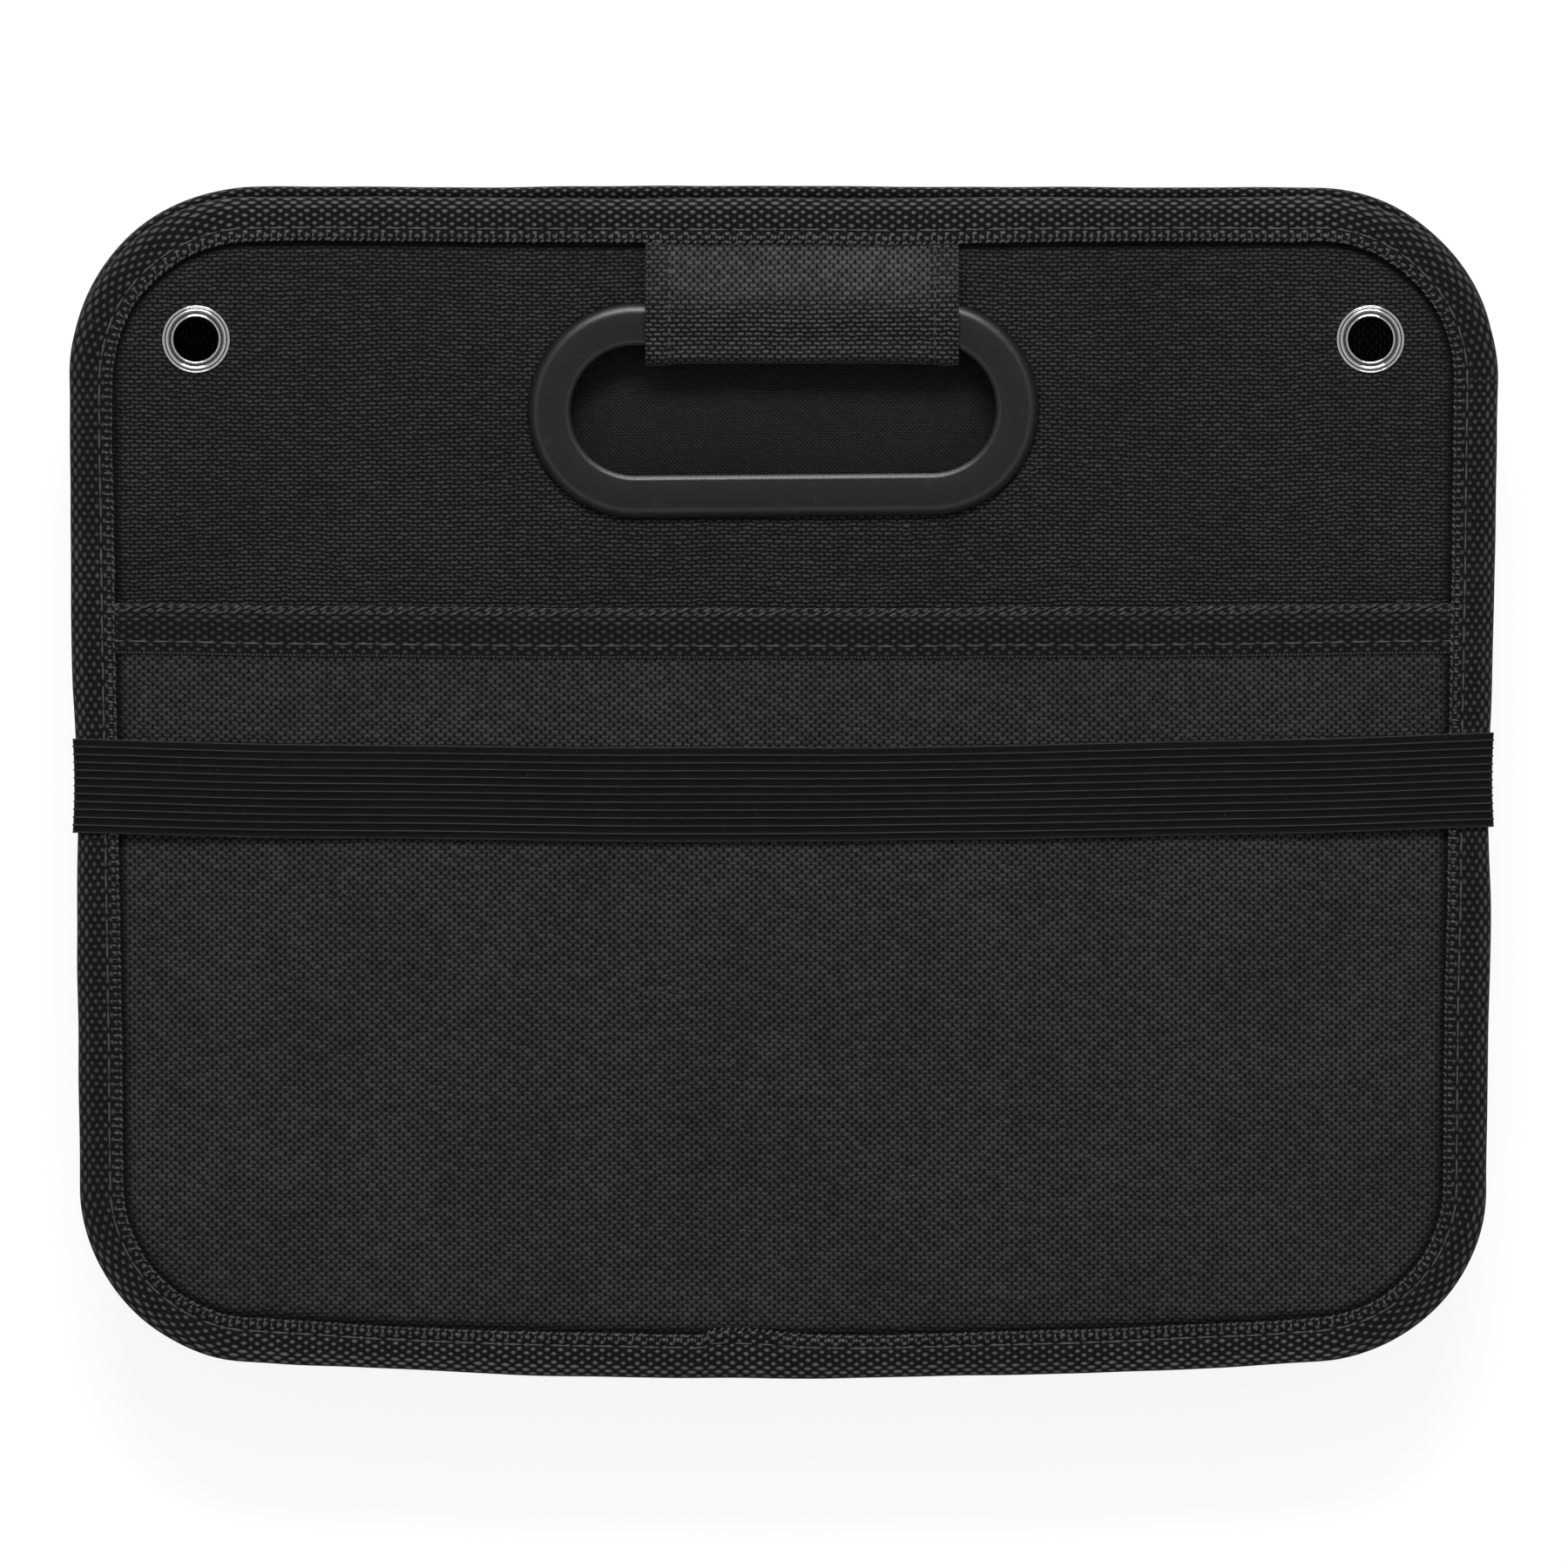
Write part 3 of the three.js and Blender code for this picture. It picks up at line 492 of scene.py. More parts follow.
def brick(x, y, length, pitch):
    """Staggered cells: the place inside a cell from -0.5 to 0.5 both ways, and the cell's numbers."""
    row = y / pitch
    row_number = row.math("FLOOR")
    cell = x / length + (row_number * 0.5).math("FRACT")
    return cell.math("FRACT") - 0.5, row.math("FRACT") - 0.5, cell.math("FLOOR"), row_number


def distance(x, y, stretch):
    """Distance from the middle of a cell, counted longer across it."""
    return (x * x + y * y * stretch).math("SQRT")


def plain_weave(given):
    """Plain weave: floats of the weft laid like bricks, with the warp sunk between them."""
    position, x, y = in_millimetres(given["Position"])
    sway = cloud(position, 0.018) - 0.5
    tremble = cloud(position, 0.35) - 0.5
    y = (tremble * 0.35 + sway) * given["Waver"] * 6.0 + y
    x = tremble * given["Waver"] + x
    along, across, cell, row = brick(x, y, given["Float Length"], given["Row Pitch"])
    shade = chance(cell, row)
    reach = shade * 0.06 + 0.42
    length = fade(abs(along), reach, reach - given["Openness"] * 0.4)
    width = fade(abs(across), 0.5, 0.42 - given["Openness"])
    thread = length * width
    away = distance((0.5 - abs(along)) * given["Float Length"], across * given["Row Pitch"], 1.4)
    solid = fade(away / given["Pit"], 0.45, 1.3)
    thread = thread + solid * given["Fill"] * (1.0 - thread)
    fibre = cloud(position, 4.0, 3.0)
    return {"Thread": thread, "Height": fibre * 0.25 + thread, "Shade": fibre * 0.5 + shade * 0.5}


def lint_and_tone(given):
    """Use: slow changes of tone over a surface, and small pale fibres that cling to it."""
    position = in_millimetres(given["Position"])[0]
    speck = fade(cloud(position, 1.3, 4.0), 0.70, 0.76)
    return {"Tone": cloud(position, 1 / given["Patch Size"], 3.0), "Lint": speck * given["Lint"]}


WEAVE = shader_group(
    "plain weave", plain_weave,
    Float_Length=2.43, Row_Pitch=1.12, Waver=0.6, Openness=0.4, Fill=0.0, Pit=0.55,
)
LINT = shader_group("lint and tone", lint_and_tone, Patch_Size=40.0, Lint=0.5)


def add_group(group, position, **values):
    """Places a shader group in a material with its own values, and gives its outputs by name."""
    node = position.tree.nodes.new("ShaderNodeGroup")
    node.node_tree = group
    for label, value in {"Position": position, **values}.items():
        plug(value, node.inputs[label.replace("_", " ")])
    return {output.name: Value(output) for output in node.outputs}


def new_finish(name, specular, sheen, has_map=True):
    """A material, its shader with the constants of its gloss, and the place on the piece."""
    material = bpy.data.materials.new(name)
    material.use_nodes = True
    tree = material.node_tree
    shader = tree.nodes["Principled BSDF"]
    shader.inputs["Specular IOR Level"].default_value = specular
    shader.inputs["Sheen Weight"].default_value = sheen
    shader.inputs["Sheen Roughness"].default_value = 0.4
    if has_map:
        return material, shader, add_node(tree, "ShaderNodeUVMap", uv_map="cloth")
    return material, shader, add_node(tree, "ShaderNodeTexCoord", output="Object")


def mix_colour(share, low, high):
    """A colour between two others."""
    low, high = ((*colour, 1) if isinstance(colour, tuple) else colour for colour in (low, high))
    ends = {"Factor": share, "A": low, "B": high}
    return add_node(share.tree, "ShaderNodeMix", ends, "Result", data_type="RGBA")


def dress(shader, colour, roughness, height, relief):
    """Gives a shader its colour, its roughness and a relief of some millimetres."""
    inputs = {"Strength": 1.0, "Distance": relief * MM, "Height": height}
    plug(colour, shader.inputs["Base Color"])
    plug(roughness, shader.inputs["Roughness"])
    plug(add_node(shader.id_data, "ShaderNodeBump", inputs, "Normal"), shader.inputs["Normal"])


def painted_shade_share(tree):
    """How much painted shade the points keep: in the tuck beside the binding, and on the binding's left and
    right sides.
    """
    return add_node(tree, "ShaderNodeAttribute", output="Fac", attribute_name="pressed")


def woven_finish(name, dark, light, relief, lint, fill_share=None, **weave):
    """A woven cloth: its threads, slow changes of tone, a little lint, and painted shade where its points
    keep it.
    """
    material, shader, uv = new_finish(name, specular=0.12, sheen=0.06)
    if fill_share is not None:
        weave["Fill"] = fill_share(uv)
    threads = add_group(WEAVE, uv, **weave)
    use = add_group(LINT, uv, Lint=lint)
    lit = threads["Thread"] * (threads["Shade"] * 0.9 + 0.45)
    # Painted shade: the colour is darkened where the points keep it, in the tuck beside the binding.
    toned = lit * (use["Tone"] * 0.8 + 0.6) * (painted_shade_share(uv.tree) * -TUCK_PAINTED_SHADE + 1.0)
    linty = mix_colour(use["Lint"], mix_colour(toned, dark, light), LINT_COLOUR)
    dress(shader, linty, threads["Thread"] * -0.2 + 0.9, threads["Height"], relief)
    return material


cover_cloth = woven_finish("cover_cloth", COVER_DARK, COVER_LIGHT, relief=0.4, lint=0.5)


def ring_share(x, y, margin):
    """One on the cloth that the handle ring and its grip press flat, fading out over a margin."""
    along = np.abs(x) - (RING_LENGTH / 2 + 2)
    across = np.abs(y - ring_y) - (RING_DEPTH / 2 + 2)
    return 1 - np.clip(np.maximum(along, across) / margin, 0, 1)


def eyelet_share(x, y, margin):
    """One under the eyelets, fading out over a margin."""
    away = np.hypot(np.abs(x) - EYELET_X, y - eyelet_y) - 11
    return 1 - np.clip(away / margin, 0, 1)


def cover_height(x, y):
    """The cover lies nearly flat: it waves a little where nothing presses on it."""
    free = 1 - np.maximum(ring_share(x, y, 20), eyelet_share(x, y, 14))
    waves = 0.16 * ripple(x, y, 55, 1.5) + 0.07 * ripple(x, y, 19, 4.5)
    return -0.05 + waves * free * (y > -20)


def eyelet_loop(sign, radius):
    """A round hole at an eyelet."""
    hole = arc(sign * EYELET_X, eyelet_y, radius, 0, 2 * math.pi, 1.5)[:-1]
    return hole[:, :2]


panel_edge = panel_outline(3.0)
hand_hole = inset(ring_outline(3.0), RING_BAR - BARREL_WALL - SEAT_GAP)
ply_loops = [inset(panel_edge, COVER_EDGE), hand_hole]
ply_loops += [eyelet_loop(sign, EYELET_BARREL + SEAT_GAP) for sign in (-1, 1)]
tuck_guides = [inset(panel_edge, depth) for depth in TUCK_GUIDES]

for side in SIDES:
    cover = make_sheet(
        f"{side}_cover_cloth", side, ply_loops, cover_height, COVER_THICKNESS,
        cover_cloth, [f"{side}_cover"], tuck_guides, COVER_TUCK,
    )


# Lining: the smooth, finely woven cloth on the inner face of each panel.
# It is cut like the cover and held by the same binding, ring and eyelets.
LINING_THICKNESS = 0.5
LINING_FACE = -3.5
LINING_DARK = (0.004, 0.004, 0.0042)
LINING_LIGHT = (0.024, 0.024, 0.025)
LINING_FLOAT = 1.15
LINING_ROW = 0.58

lining_cloth = woven_finish(
    "lining_cloth", LINING_DARK, LINING_LIGHT, relief=0.12, lint=0.2,
    Float_Length=LINING_FLOAT, Row_Pitch=LINING_ROW, Waver=0.3,
)


def lining_height(x, y):
    """The lining lies flat against the board."""
    return x * 0 + y * 0 + LINING_FACE


for side in SIDES:
    lining = make_sheet(
        f"{side}_lining_cloth", side, ply_loops, lining_height, LINING_THICKNESS,
        lining_cloth, [f"{side}_lining"],
    )


# Stiffening board: grey pressed fibre board, cut to the shape of each panel and of each half wall.
# The solids have the real shape, so they stay and get a fibrous finish.
BOARD_DARK = (0.11, 0.085, 0.062)
BOARD_LIGHT = (0.24, 0.195, 0.15)
BOARD_GRAIN = 900

board_finish, board_shader, board_place = new_finish(
    "stiffening_board", specular=0.5, sheen=0.0, has_map=False,
)
board_fibre = cloud(board_place, BOARD_GRAIN, 5.0)
board_mix = (board_fibre + add_group(LINT, board_place, Lint=0.3)["Tone"]) * 0.5
board_colour = mix_colour(board_mix, BOARD_DARK, BOARD_LIGHT)
dress(board_shader, board_colour, board_fibre * 0.2 + 0.75, board_fibre, 0.15)
for node_name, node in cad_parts.items():
    if "board" in node_name:
        node.data.materials.clear()
        node.data.materials.append(board_finish)


# Pocket: one sheet of the cover cloth over the lower two thirds of a panel, a little too large for it.
# Its sides and bottom are caught under the edge binding, and its mouth stands off the panel a little.
MOUTH_Y = 49.5
MOUTH_SAG = 1.6
MOUTH_ZONE = 34
MOUTH_OPEN = 1.0
MOUTH_SLACK = 0.6
POCKET_THICKNESS = 0.8
POCKET_BELLY = 1.9
POCKET_REACH = 90
POCKET_HEM = 1.0
POCKET_TAPE_WIDTH = 13.4
BINDING_WIDTH = 11.4
TAPE_THICKNESS = 0.9
POCKET_DARK = (0.0022, 0.0022, 0.0023)
POCKET_LIGHT = (0.0395, 0.0395, 0.0404)

pocket_cloth = woven_finish(
    "pocket_cloth", POCKET_DARK, POCKET_LIGHT, relief=0.5, lint=0.5, Openness=0.4, Fill=0.58, Pit=0.7,
)


def mouth_at(x):
    """The pocket's mouth sags a little in the middle."""
    return MOUTH_Y - MOUTH_SAG * (1 - (np.asarray(x) / half_width) ** 2)


def smooth(value, low, high):
    """Nought below low, one above high, and smooth between them."""
    share = np.clip((value - low) / (high - low), 0, 1)
    return share * share * (3 - 2 * share)


def pocket_lift(x, y):
    """Height of the pocket's back over the cover: bellied below, and held open by its tape at the mouth."""
    inside = np.clip((inset_at(x, y) - BINDING_WIDTH - 1) / POCKET_REACH, 0, 1)
    belly = POCKET_BELLY * (1 - (1 - inside) ** 2)
    across = np.minimum(1, (x / (half_width - BINDING_WIDTH)) ** 2)
    mouth = MOUTH_OPEN + MOUTH_SLACK * (1 - across)
    towards = smooth(y, mouth_at(x) - MOUTH_ZONE, mouth_at(x) - POCKET_TAPE_WIDTH)
    return PLY_GAP + belly + (mouth - belly) * towards


def pocket_height(x, y):
    """The pocket's face, with shallow slack waves that run down from the mouth and the band."""
    free = smooth(inset_at(x, y), BINDING_WIDTH, BINDING_WIDTH + 30) * smooth(mouth_at(x) - y, 14, 40)
    waves = ripple(x, y * 0.45, 34, 7.5) + 0.5 * ripple(x * 0.8, y, 16, 2.5) - 0.6
    return pocket_lift(x, y) + POCKET_THICKNESS + 0.28 * waves * free


pocket_edge = inset(panel_edge, COVER_EDGE)
pocket_edge = pocket_edge[pocket_edge[:, 1] < MOUTH_Y - TAPE_THICKNESS]
mouth_reach = half_width_at(MOUTH_Y) - COVER_EDGE
mouth_x = np.linspace(mouth_reach, -mouth_reach, 95)
pocket_mouth = np.stack([mouth_x, mouth_at(mouth_x) - POCKET_HEM], -1)
pocket_loop = np.concatenate([pocket_edge, pocket_mouth])
pocket_guides = [guide[guide[:, 1] < MOUTH_Y - POCKET_TAPE_WIDTH] for guide in tuck_guides]

for side in SIDES:
    pocket = make_sheet(
        f"{side}_pocket_cloth", side, [pocket_loop], pocket_height, POCKET_THICKNESS,
        pocket_cloth, [f"{side}_pocket"], pocket_guides, COVER_TUCK,
    )


# Edge binding: a thick woven tape, folded over the panel's edge and sewn through all the plies.
# Its face has rows of round raised dots, and its inner edges are looped selvedges.
BINDING_ROUND = 1.2
BINDING_CLIMB = 16
TAPE_DARK = (0.002, 0.002, 0.0021)
TAPE_LIGHT = (0.05, 0.05, 0.051)
TAPE_SELVEDGE = (0.11, 0.11, 0.112)
DOT_SPACING = 3.66
DOT_ROW = 1.12
DOT_LIGHT = (0.13, 0.13, 0.132)
GROUND_SHARE = 0.08
SELVEDGE_SHARE = 0.7
# How much painted shade dims the dots on the binding's left and right sides.
SIDE_PAINTED_SHADE = 0.55
TAPE_RELIEF = 1.0
BINDING_STEP = 2.5
BINDING_SEEDS = {"front": 1.5, "rear": 9.5}
BINDING_FLAT_WIDTH = 28.6
PUFF_FROM = 0.9
WAIST_DEPTH = 0.9
WAIST_REACH = 24
LAP_START = -20
LAP_REACH = 34
LAP_SHIFT = 1.2
LAP_HEIGHT = 0.35


def dotted_tape(given):
    """Tape: staggered rows of raised dots on a fine ribbed ground, between beaded selvedges."""
    position, x, y = in_millimetres(given["Position"])
    x = (cloud(position, 0.25) - 0.5) * 1.2 + x
    along, across, cell, row = brick(x, y, given["Dot Spacing"], given["Row Pitch"])
    bent = fade(abs(y - given["Width"] * 0.5), 5.2, 3.6)
    away = distance(along * (bent * -1.3 + given["Dot Spacing"]), across * given["Row Pitch"], 1.7)
    from_edge = y.math("MINIMUM", given["Width"] - y)
    edge = fade(from_edge, 1.1, 0.7)
    dots = fade(away, chance(cell, row) * 0.2 + 0.78, 0.3) * (1.0 - edge)
    ground = (x / (DOT_SPACING / 6) + y / (DOT_ROW / 2)).math("PINGPONG", 0.5) * 2.0
    selvedge = edge * fade(abs(x.math("FRACT") - 0.5), 0.42, 0.2)
    height = ground * 0.15 + dots.math("MAXIMUM", selvedge)
    return {"Dots": dots, "Ground": ground, "Selvedge": selvedge, "Height": height}


DOTTED_TAPE = shader_group(
    "dotted tape", dotted_tape, Width=26.0, Dot_Spacing=DOT_SPACING, Row_Pitch=DOT_ROW,
)


def tape_finish(name, width, dot_light):
    """A dotted tape of a width, with its dots, ground, selvedges and lint, and its dots dimmed by painted
    shade where its points keep it.
    """
    material, shader, uv = new_finish(name, specular=0.15, sheen=0.08)
    tape = add_group(DOTTED_TAPE, uv, Width=width)
    use = add_group(LINT, uv, Lint=0.6)
    base = mix_colour(tape["Ground"] * GROUND_SHARE, TAPE_DARK, TAPE_LIGHT)
    # Painted shade: the dots are dimmed on the binding's left and right sides, along which the light from
    # beyond the top edge falls.
    shown = tape["Dots"] * (use["Tone"] + 0.5) * (painted_shade_share(uv.tree) * -SIDE_PAINTED_SHADE + 1.0)
    raised = mix_colour(shown, base, dot_light)
    edged = mix_colour(tape["Selvedge"] * SELVEDGE_SHARE, raised, TAPE_SELVEDGE)
    linty = mix_colour(use["Lint"], edged, LINT_COLOUR)
    dress(shader, linty, tape["Dots"] * -0.25 + 0.85, tape["Height"], TAPE_RELIEF)
    return material


binding_tape = tape_finish("binding_tape", BINDING_FLAT_WIDTH, DOT_LIGHT)


def under_binding(x, y):
    """Height of the cloth under the binding: the cover above the pocket, and the pocket's edge below."""
    top = PLY_GAP + pocket_lift(x, np.minimum(y, MOUTH_Y)) + POCKET_THICKNESS
    over_pocket = 1 - smooth(y, MOUTH_Y + TAPE_THICKNESS, MOUTH_Y + BINDING_CLIMB)
    return PLY_GAP + (top - PLY_GAP) * over_pocket


def path_length(points, is_ring):
    """Distance along a line of points, with the way back to the first point for a ring."""
    line = np.concatenate([points, points[:1]]) if is_ring else points
    return np.concatenate([[0], np.cumsum(np.linalg.norm(np.diff(line, axis=0), axis=1))])


def swept(rows, along, across, is_ring):
    """Faces and UVs of a closed profile carried along rows of points; an open one gets end caps."""
    count, size = rows.shape[:2]
    s = np.arange(count if is_ring else count - 1)[:, None]
    p = np.arange(size)[None, :]
    t, q = (s + 1) % count, (p + 1) % size
    corners = np.stack([s * size + p, t * size + p, t * size + q, s * size + q], -1).reshape(-1, 4)
    u0, u1 = np.broadcast_arrays(along[s], along[s + 1])
    v0, v1 = across[p], across[p + 1]
    shape = (s.shape[0], size)
    u0, u1, v0, v1 = (np.broadcast_to(value, shape).ravel() for value in (u0, u1, v0, v1))
    uvs = np.stack([np.stack(pair, -1) for pair in ((u0, v0), (u1, v0), (u1, v1), (u0, v1))], 1)
    faces = [tuple(face) for face in corners.tolist()]
    uvs = list(uvs)
    if not is_ring:
        last = (count - 1) * size
        faces += [tuple(range(size))[::-1], tuple(range(last, last + size))]
        flat = np.stack([np.zeros(size), across[:-1]], -1)
        uvs += [flat[::-1] + [along[0], 0], flat + [along[-1], 0]]
    return faces, uvs


def make_sweep(name, rows, material, nodes=(), is_ring=True):
    """A piece made by carrying a closed profile along rows of points in millimetres."""
    along = path_length(rows[:, 0], is_ring)
    across = path_length(rows[0], True)
    faces, uvs = swept(rows, along, across, is_ring)
    return make_piece(name, rows.reshape(-1, 3), faces, uvs, material, nodes)


FACE_LEG = [
    (10.7, 0.1), (11.25, 0.32), (11.46, 0.7), (11.36, 1.08), (10.95, 1.32), (10.3, 1.4), (9.5, 1.36),
    (8.85, 1.14), (8.4, 0.9), (8.0, 0.9), (7.6, 1.16), (6.8, 1.33), (5.5, 1.38), (3.9, 1.33), (2.5, 1.2),
    (1.4, 0.96), (0.65, 0.58), (0.2, 0.05), (0.02, -0.6), (0.0, -1.4),
]
INNER_LEG = [
    (0.0, -1.6), (0.02, -0.8), (0.2, 0.1), (0.6, 0.85), (1.2, 1.3), (1.9, 1.34), (2.5, 1.0), (2.95, 0.4),
    (3.4, 0.2), (4.2, 0.45), (5.4, 0.85), (7.2, 1.05), (9.4, 1.05), (10.6, 0.98), (11.2, 0.75), (11.4, 0.3),
]
binding_back = -PANEL_DEPTH - PLY_GAP
binding_profile = FACE_LEG + [(a, binding_back - z) for a, z in INNER_LEG]
binding_profile += [(BINDING_ROUND, binding_back), (BINDING_ROUND, 0)]


def lap_share(outline):
    """One where the tape's upper end starts on the bottom edge, and fading out along it."""
    x, y = outline[:, 0], outline[:, 1]
    rise = smooth(x, LAP_START - 1.5, LAP_START + 1)
    return rise * (1 - smooth(x, LAP_START + 6, LAP_START + LAP_REACH)) * (y < low_corner_y)


def binding_waver(outline, seed, lap):
    """How much further over the panel the folded tape reaches, with its step at the lap times a number."""
    x, y = outline[:, :2].T
    waver = 0.35 * ripple(x, y, 30, seed) + 0.12 * ripple(x, y, 7, seed)
    return waver + top_spread(x, y) + lap * LAP_SHIFT * lap_share(outline)


def binding_rows(outline, seed):
    """The folded tape's profile at each point of the outline, wavering a little as sewn tape does."""
    x, y, outward = outline[:, :3].T
    lift = under_binding(*inset(outline, BINDING_ROUND).T)
    waver = binding_waver(outline, seed, lap=1)
    edge = 0.5 * ripple(x, y, 46, seed + 3) + 0.3 * ripple(x, y, 19, seed + 5)
    edge = edge - 0.1 + WAIST_DEPTH * np.exp(-(((y + 1) / WAIST_REACH) ** 2)) * np.abs(outward)
    puff = 1 + 0.22 * ripple(x, y, 12, seed + 7)
    rows = []
    for depth, z in binding_profile:
        share = np.clip(depth / BINDING_WIDTH, 0, 1)
        ground = inset(outline, depth + waver * share + edge * (1 - share))
        on_face = np.clip((z + 1.4) / 1.4, 0, 1)
        raised = PUFF_FROM + (z - PUFF_FROM) * puff + LAP_HEIGHT * lap_share(outline)
        rows.append(np.column_stack([ground, np.where(z > PUFF_FROM, raised, z) + lift * on_face]))
    return np.stack(rows, 1)


fine_edge = panel_outline(BINDING_STEP)
for side, seed in BINDING_SEEDS.items():
    rows = on_panel(side, binding_rows(fine_edge, seed))
    tape = make_sweep(f"{side}_binding_tape", rows, binding_tape, [f"{side}_edge_binding"])
    # The binding's left and right sides get painted shade, which dims their dots.
    mark_points(tape, np.repeat(np.abs(fine_edge[:, 2]), len(binding_profile)))


# Pocket binding: a narrower tape of the same weave, folded over the pocket's mouth from side to side.
# It ends under the edge binding at both sides.
POCKET_TAPE_FLAT_WIDTH = 27.0
POCKET_DOT_LIGHT = (0.052, 0.052, 0.053)
MOUTH_POINTS = 144
MOUTH_SEED = 3.5
MOUTH_TAPE_PROFILE = [
    (-13.4, 0.9), (-13.38, 1.25), (-13.1, 1.5), (-12.2, 1.57), (-9.0, 1.61), (-5.0, 1.61), (-2.0, 1.57),
    (-0.9, 1.5), (-0.3, 1.25), (0.0, 0.8), (0.03, 0.4), (0.0, 0.0), (-0.3, -0.45), (-0.9, -0.7),
    (-2.0, -0.78), (-12.2, -0.79), (-13.1, -0.7), (-13.38, -0.45), (-13.4, -0.1), (-0.7, -0.1), (-0.7, 0.9),
]
pocket_tape = tape_finish("pocket_tape", POCKET_TAPE_FLAT_WIDTH, POCKET_DOT_LIGHT)


def mouth_line(across, height):
    """A line along the pocket's mouth, at a distance across its tape and a height over the pocket's back."""
    reach = half_width_at(MOUTH_Y) - BINDING_WIDTH - SEAT_GAP
    x = np.linspace(-reach, reach, MOUTH_POINTS)
    waver = 0.3 * ripple(x, x * 0, 38, MOUTH_SEED) + 0.12 * ripple(x, x * 0, 9, MOUTH_SEED)
    return np.column_stack([x, mouth_at(x) + across + waver, pocket_lift(x, mouth_at(x)) + height])


for side in SIDES:
    rows = on_panel(side, np.stack([mouth_line(across, z) for across, z in MOUTH_TAPE_PROFILE], 1))
    make_sweep(
        f"{side}_pocket_tape", rows, pocket_tape, [f"{side}_pocket_binding"], is_ring=False,
    )


# Handle ring: a moulded plastic frame round the hand hole, with a barrel that goes through the panel.
# Its counter ring is pushed over the barrel from inside. Both have bevelled edges and a fine moulded grain.
PLASTIC_DARK = (0.004, 0.004, 0.0042)
PLASTIC_LIGHT = (0.0078, 0.0078, 0.0081)
PLASTIC_DUST = (0.1, 0.1, 0.1)
RING_PROFILE = [
    (0.0, 0.1), (0.0, 1.0), (0.1, 1.3), (0.4, 1.62), (0.9, 2.02), (1.4, 2.34), (2.0, 2.62), (2.6, 2.79),
    (3.2, 2.84), (5.8, 2.86), (9.8, 2.83), (10.1, 2.8), (10.3, 2.74), (11.27, 2.34), (11.49, 2.12),
    (11.58, 1.8), (11.6, 1.2), (11.6, -5.0), (11.5, -5.3), (11.2, -5.4), (9.6, -5.4), (9.6, 0.1),
]
COUNTER_PROFILE = [
    (1.5, -4.1), (1.5, -5.0), (1.65, -5.35), (2.0, -5.7), (2.4, -5.9), (8.4, -5.9), (8.8, -5.85),
    (9.15, -5.65), (9.3, -5.35), (9.3, -4.1),
]


def moulded_grain(given):
    """Moulded plastic: a fine spark-eroded grain and faint scuffs."""
    position = in_millimetres(given["Position"])[0]
    scuff = fade(cloud(position, 0.12, 6.0), 0.58, 0.78)
    return {"Grain": cloud(position, 3.2, 3.0), "Scuff": scuff * given["Scuff"]}


GRAIN = shader_group("moulded grain", moulded_grain, Scuff=0.5)
plastic, plastic_shader, plastic_uv = new_finish("handle_plastic", specular=0.49, sheen=0.0)
grain = add_group(GRAIN, plastic_uv, Scuff=0.35)
plastic_tone = mix_colour(grain["Grain"], PLASTIC_DARK, PLASTIC_LIGHT)
plastic_dusty = mix_colour(add_group(LINT, plastic_uv, Lint=0.5)["Lint"], plastic_tone, PLASTIC_DUST)
dress(plastic_shader, plastic_dusty, grain["Scuff"] * 0.2 + 0.34, grain["Grain"], 0.05)


def carried(side, outline, profile):
    """A profile of depths and heights carried round an outline on a panel."""
    rows = [np.column_stack([inset(outline, depth), np.full(len(outline), z)]) for depth, z in profile]
    return on_panel(side, np.stack(rows, 1))


fine_ring = ring_outline(2.0)
for side in SIDES:
    for part, profile in (("handle_ring", RING_PROFILE), ("handle_ring_back", COUNTER_PROFILE)):
        rows = carried(side, fine_ring, profile)
        make_sweep(f"{side}_{part}_moulding", rows, plastic, [f"{side}_{part}"])


# Eyelets: pressed steel, plated bright, with a rolled flange on the face and a lip set over a washer.
# Cord or hooks go through them when the box stands open.
EYELET_PROFILE = [
    (9.0, 0.1), (9.05, 0.25), (8.98, 0.42), (8.82, 0.52), (8.68, 0.5), (8.56, 0.42), (8.47, 0.5),
    (8.34, 0.8), (8.16, 1.05), (7.92, 1.24), (7.7, 1.32), (7.54, 1.29), (7.45, 1.17), (7.4, 1.03),
    (7.3, 0.98), (7.2, 0.97), (6.72, 0.97), (6.62, 0.98), (6.55, 1.03), (6.5, 1.14), (6.38, 1.25),
    (6.24, 1.27), (6.1, 1.2), (6.0, 1.02), (5.95, 0.75), (5.95, -4.7), (6.1, -5.2), (6.5, -5.5),
    (7.2, -5.66), (8.1, -5.66), (8.4, -5.5), (8.4, -5.22), (7.2, -5.2), (7.2, 0.1),
]
WASHER_PROFILE = [(7.5, -4.1), (9.9, -4.1), (9.9, -4.6), (9.8, -4.8), (9.5, -4.9), (7.5, -4.9)]
STEEL_BRIGHT = (0.86, 0.85, 0.84)
STEEL_DULL = (0.55, 0.545, 0.54)
# Painted shade for the dark reflection in the eyelet's rolled channel.
STEEL_CHANNEL_SHADE = (0.26, 0.26, 0.265)
EYELET_FACETS = 96
CHANNEL_CORNERS = [14, 17]

steel, steel_shader, steel_uv = new_finish("eyelet_steel", specular=0.5, sheen=0.0)
steel_shader.inputs["Metallic"].default_value = 1
steel_grain = add_group(GRAIN, steel_uv, Scuff=0.6)
# The rolled channel is painted darker, as painted shade for the dark reflection in it.
channel_ends = path_length(np.array(EYELET_PROFILE), True)[CHANNEL_CORNERS]
half_channel = np.ptp(channel_ends) / 2
from_channel = abs(in_millimetres(steel_uv)[2] - channel_ends.mean())
channel_painted_shade = fade(from_channel, half_channel + 0.1, half_channel - 0.05)
steel_tone = mix_colour(steel_grain["Scuff"], STEEL_BRIGHT, STEEL_DULL)
steel_colour = mix_colour(channel_painted_shade, steel_tone, STEEL_CHANNEL_SHADE)
dress(steel_shader, steel_colour, steel_grain["Grain"] * 0.05 + 0.1, steel_grain["Grain"], 0.0015)

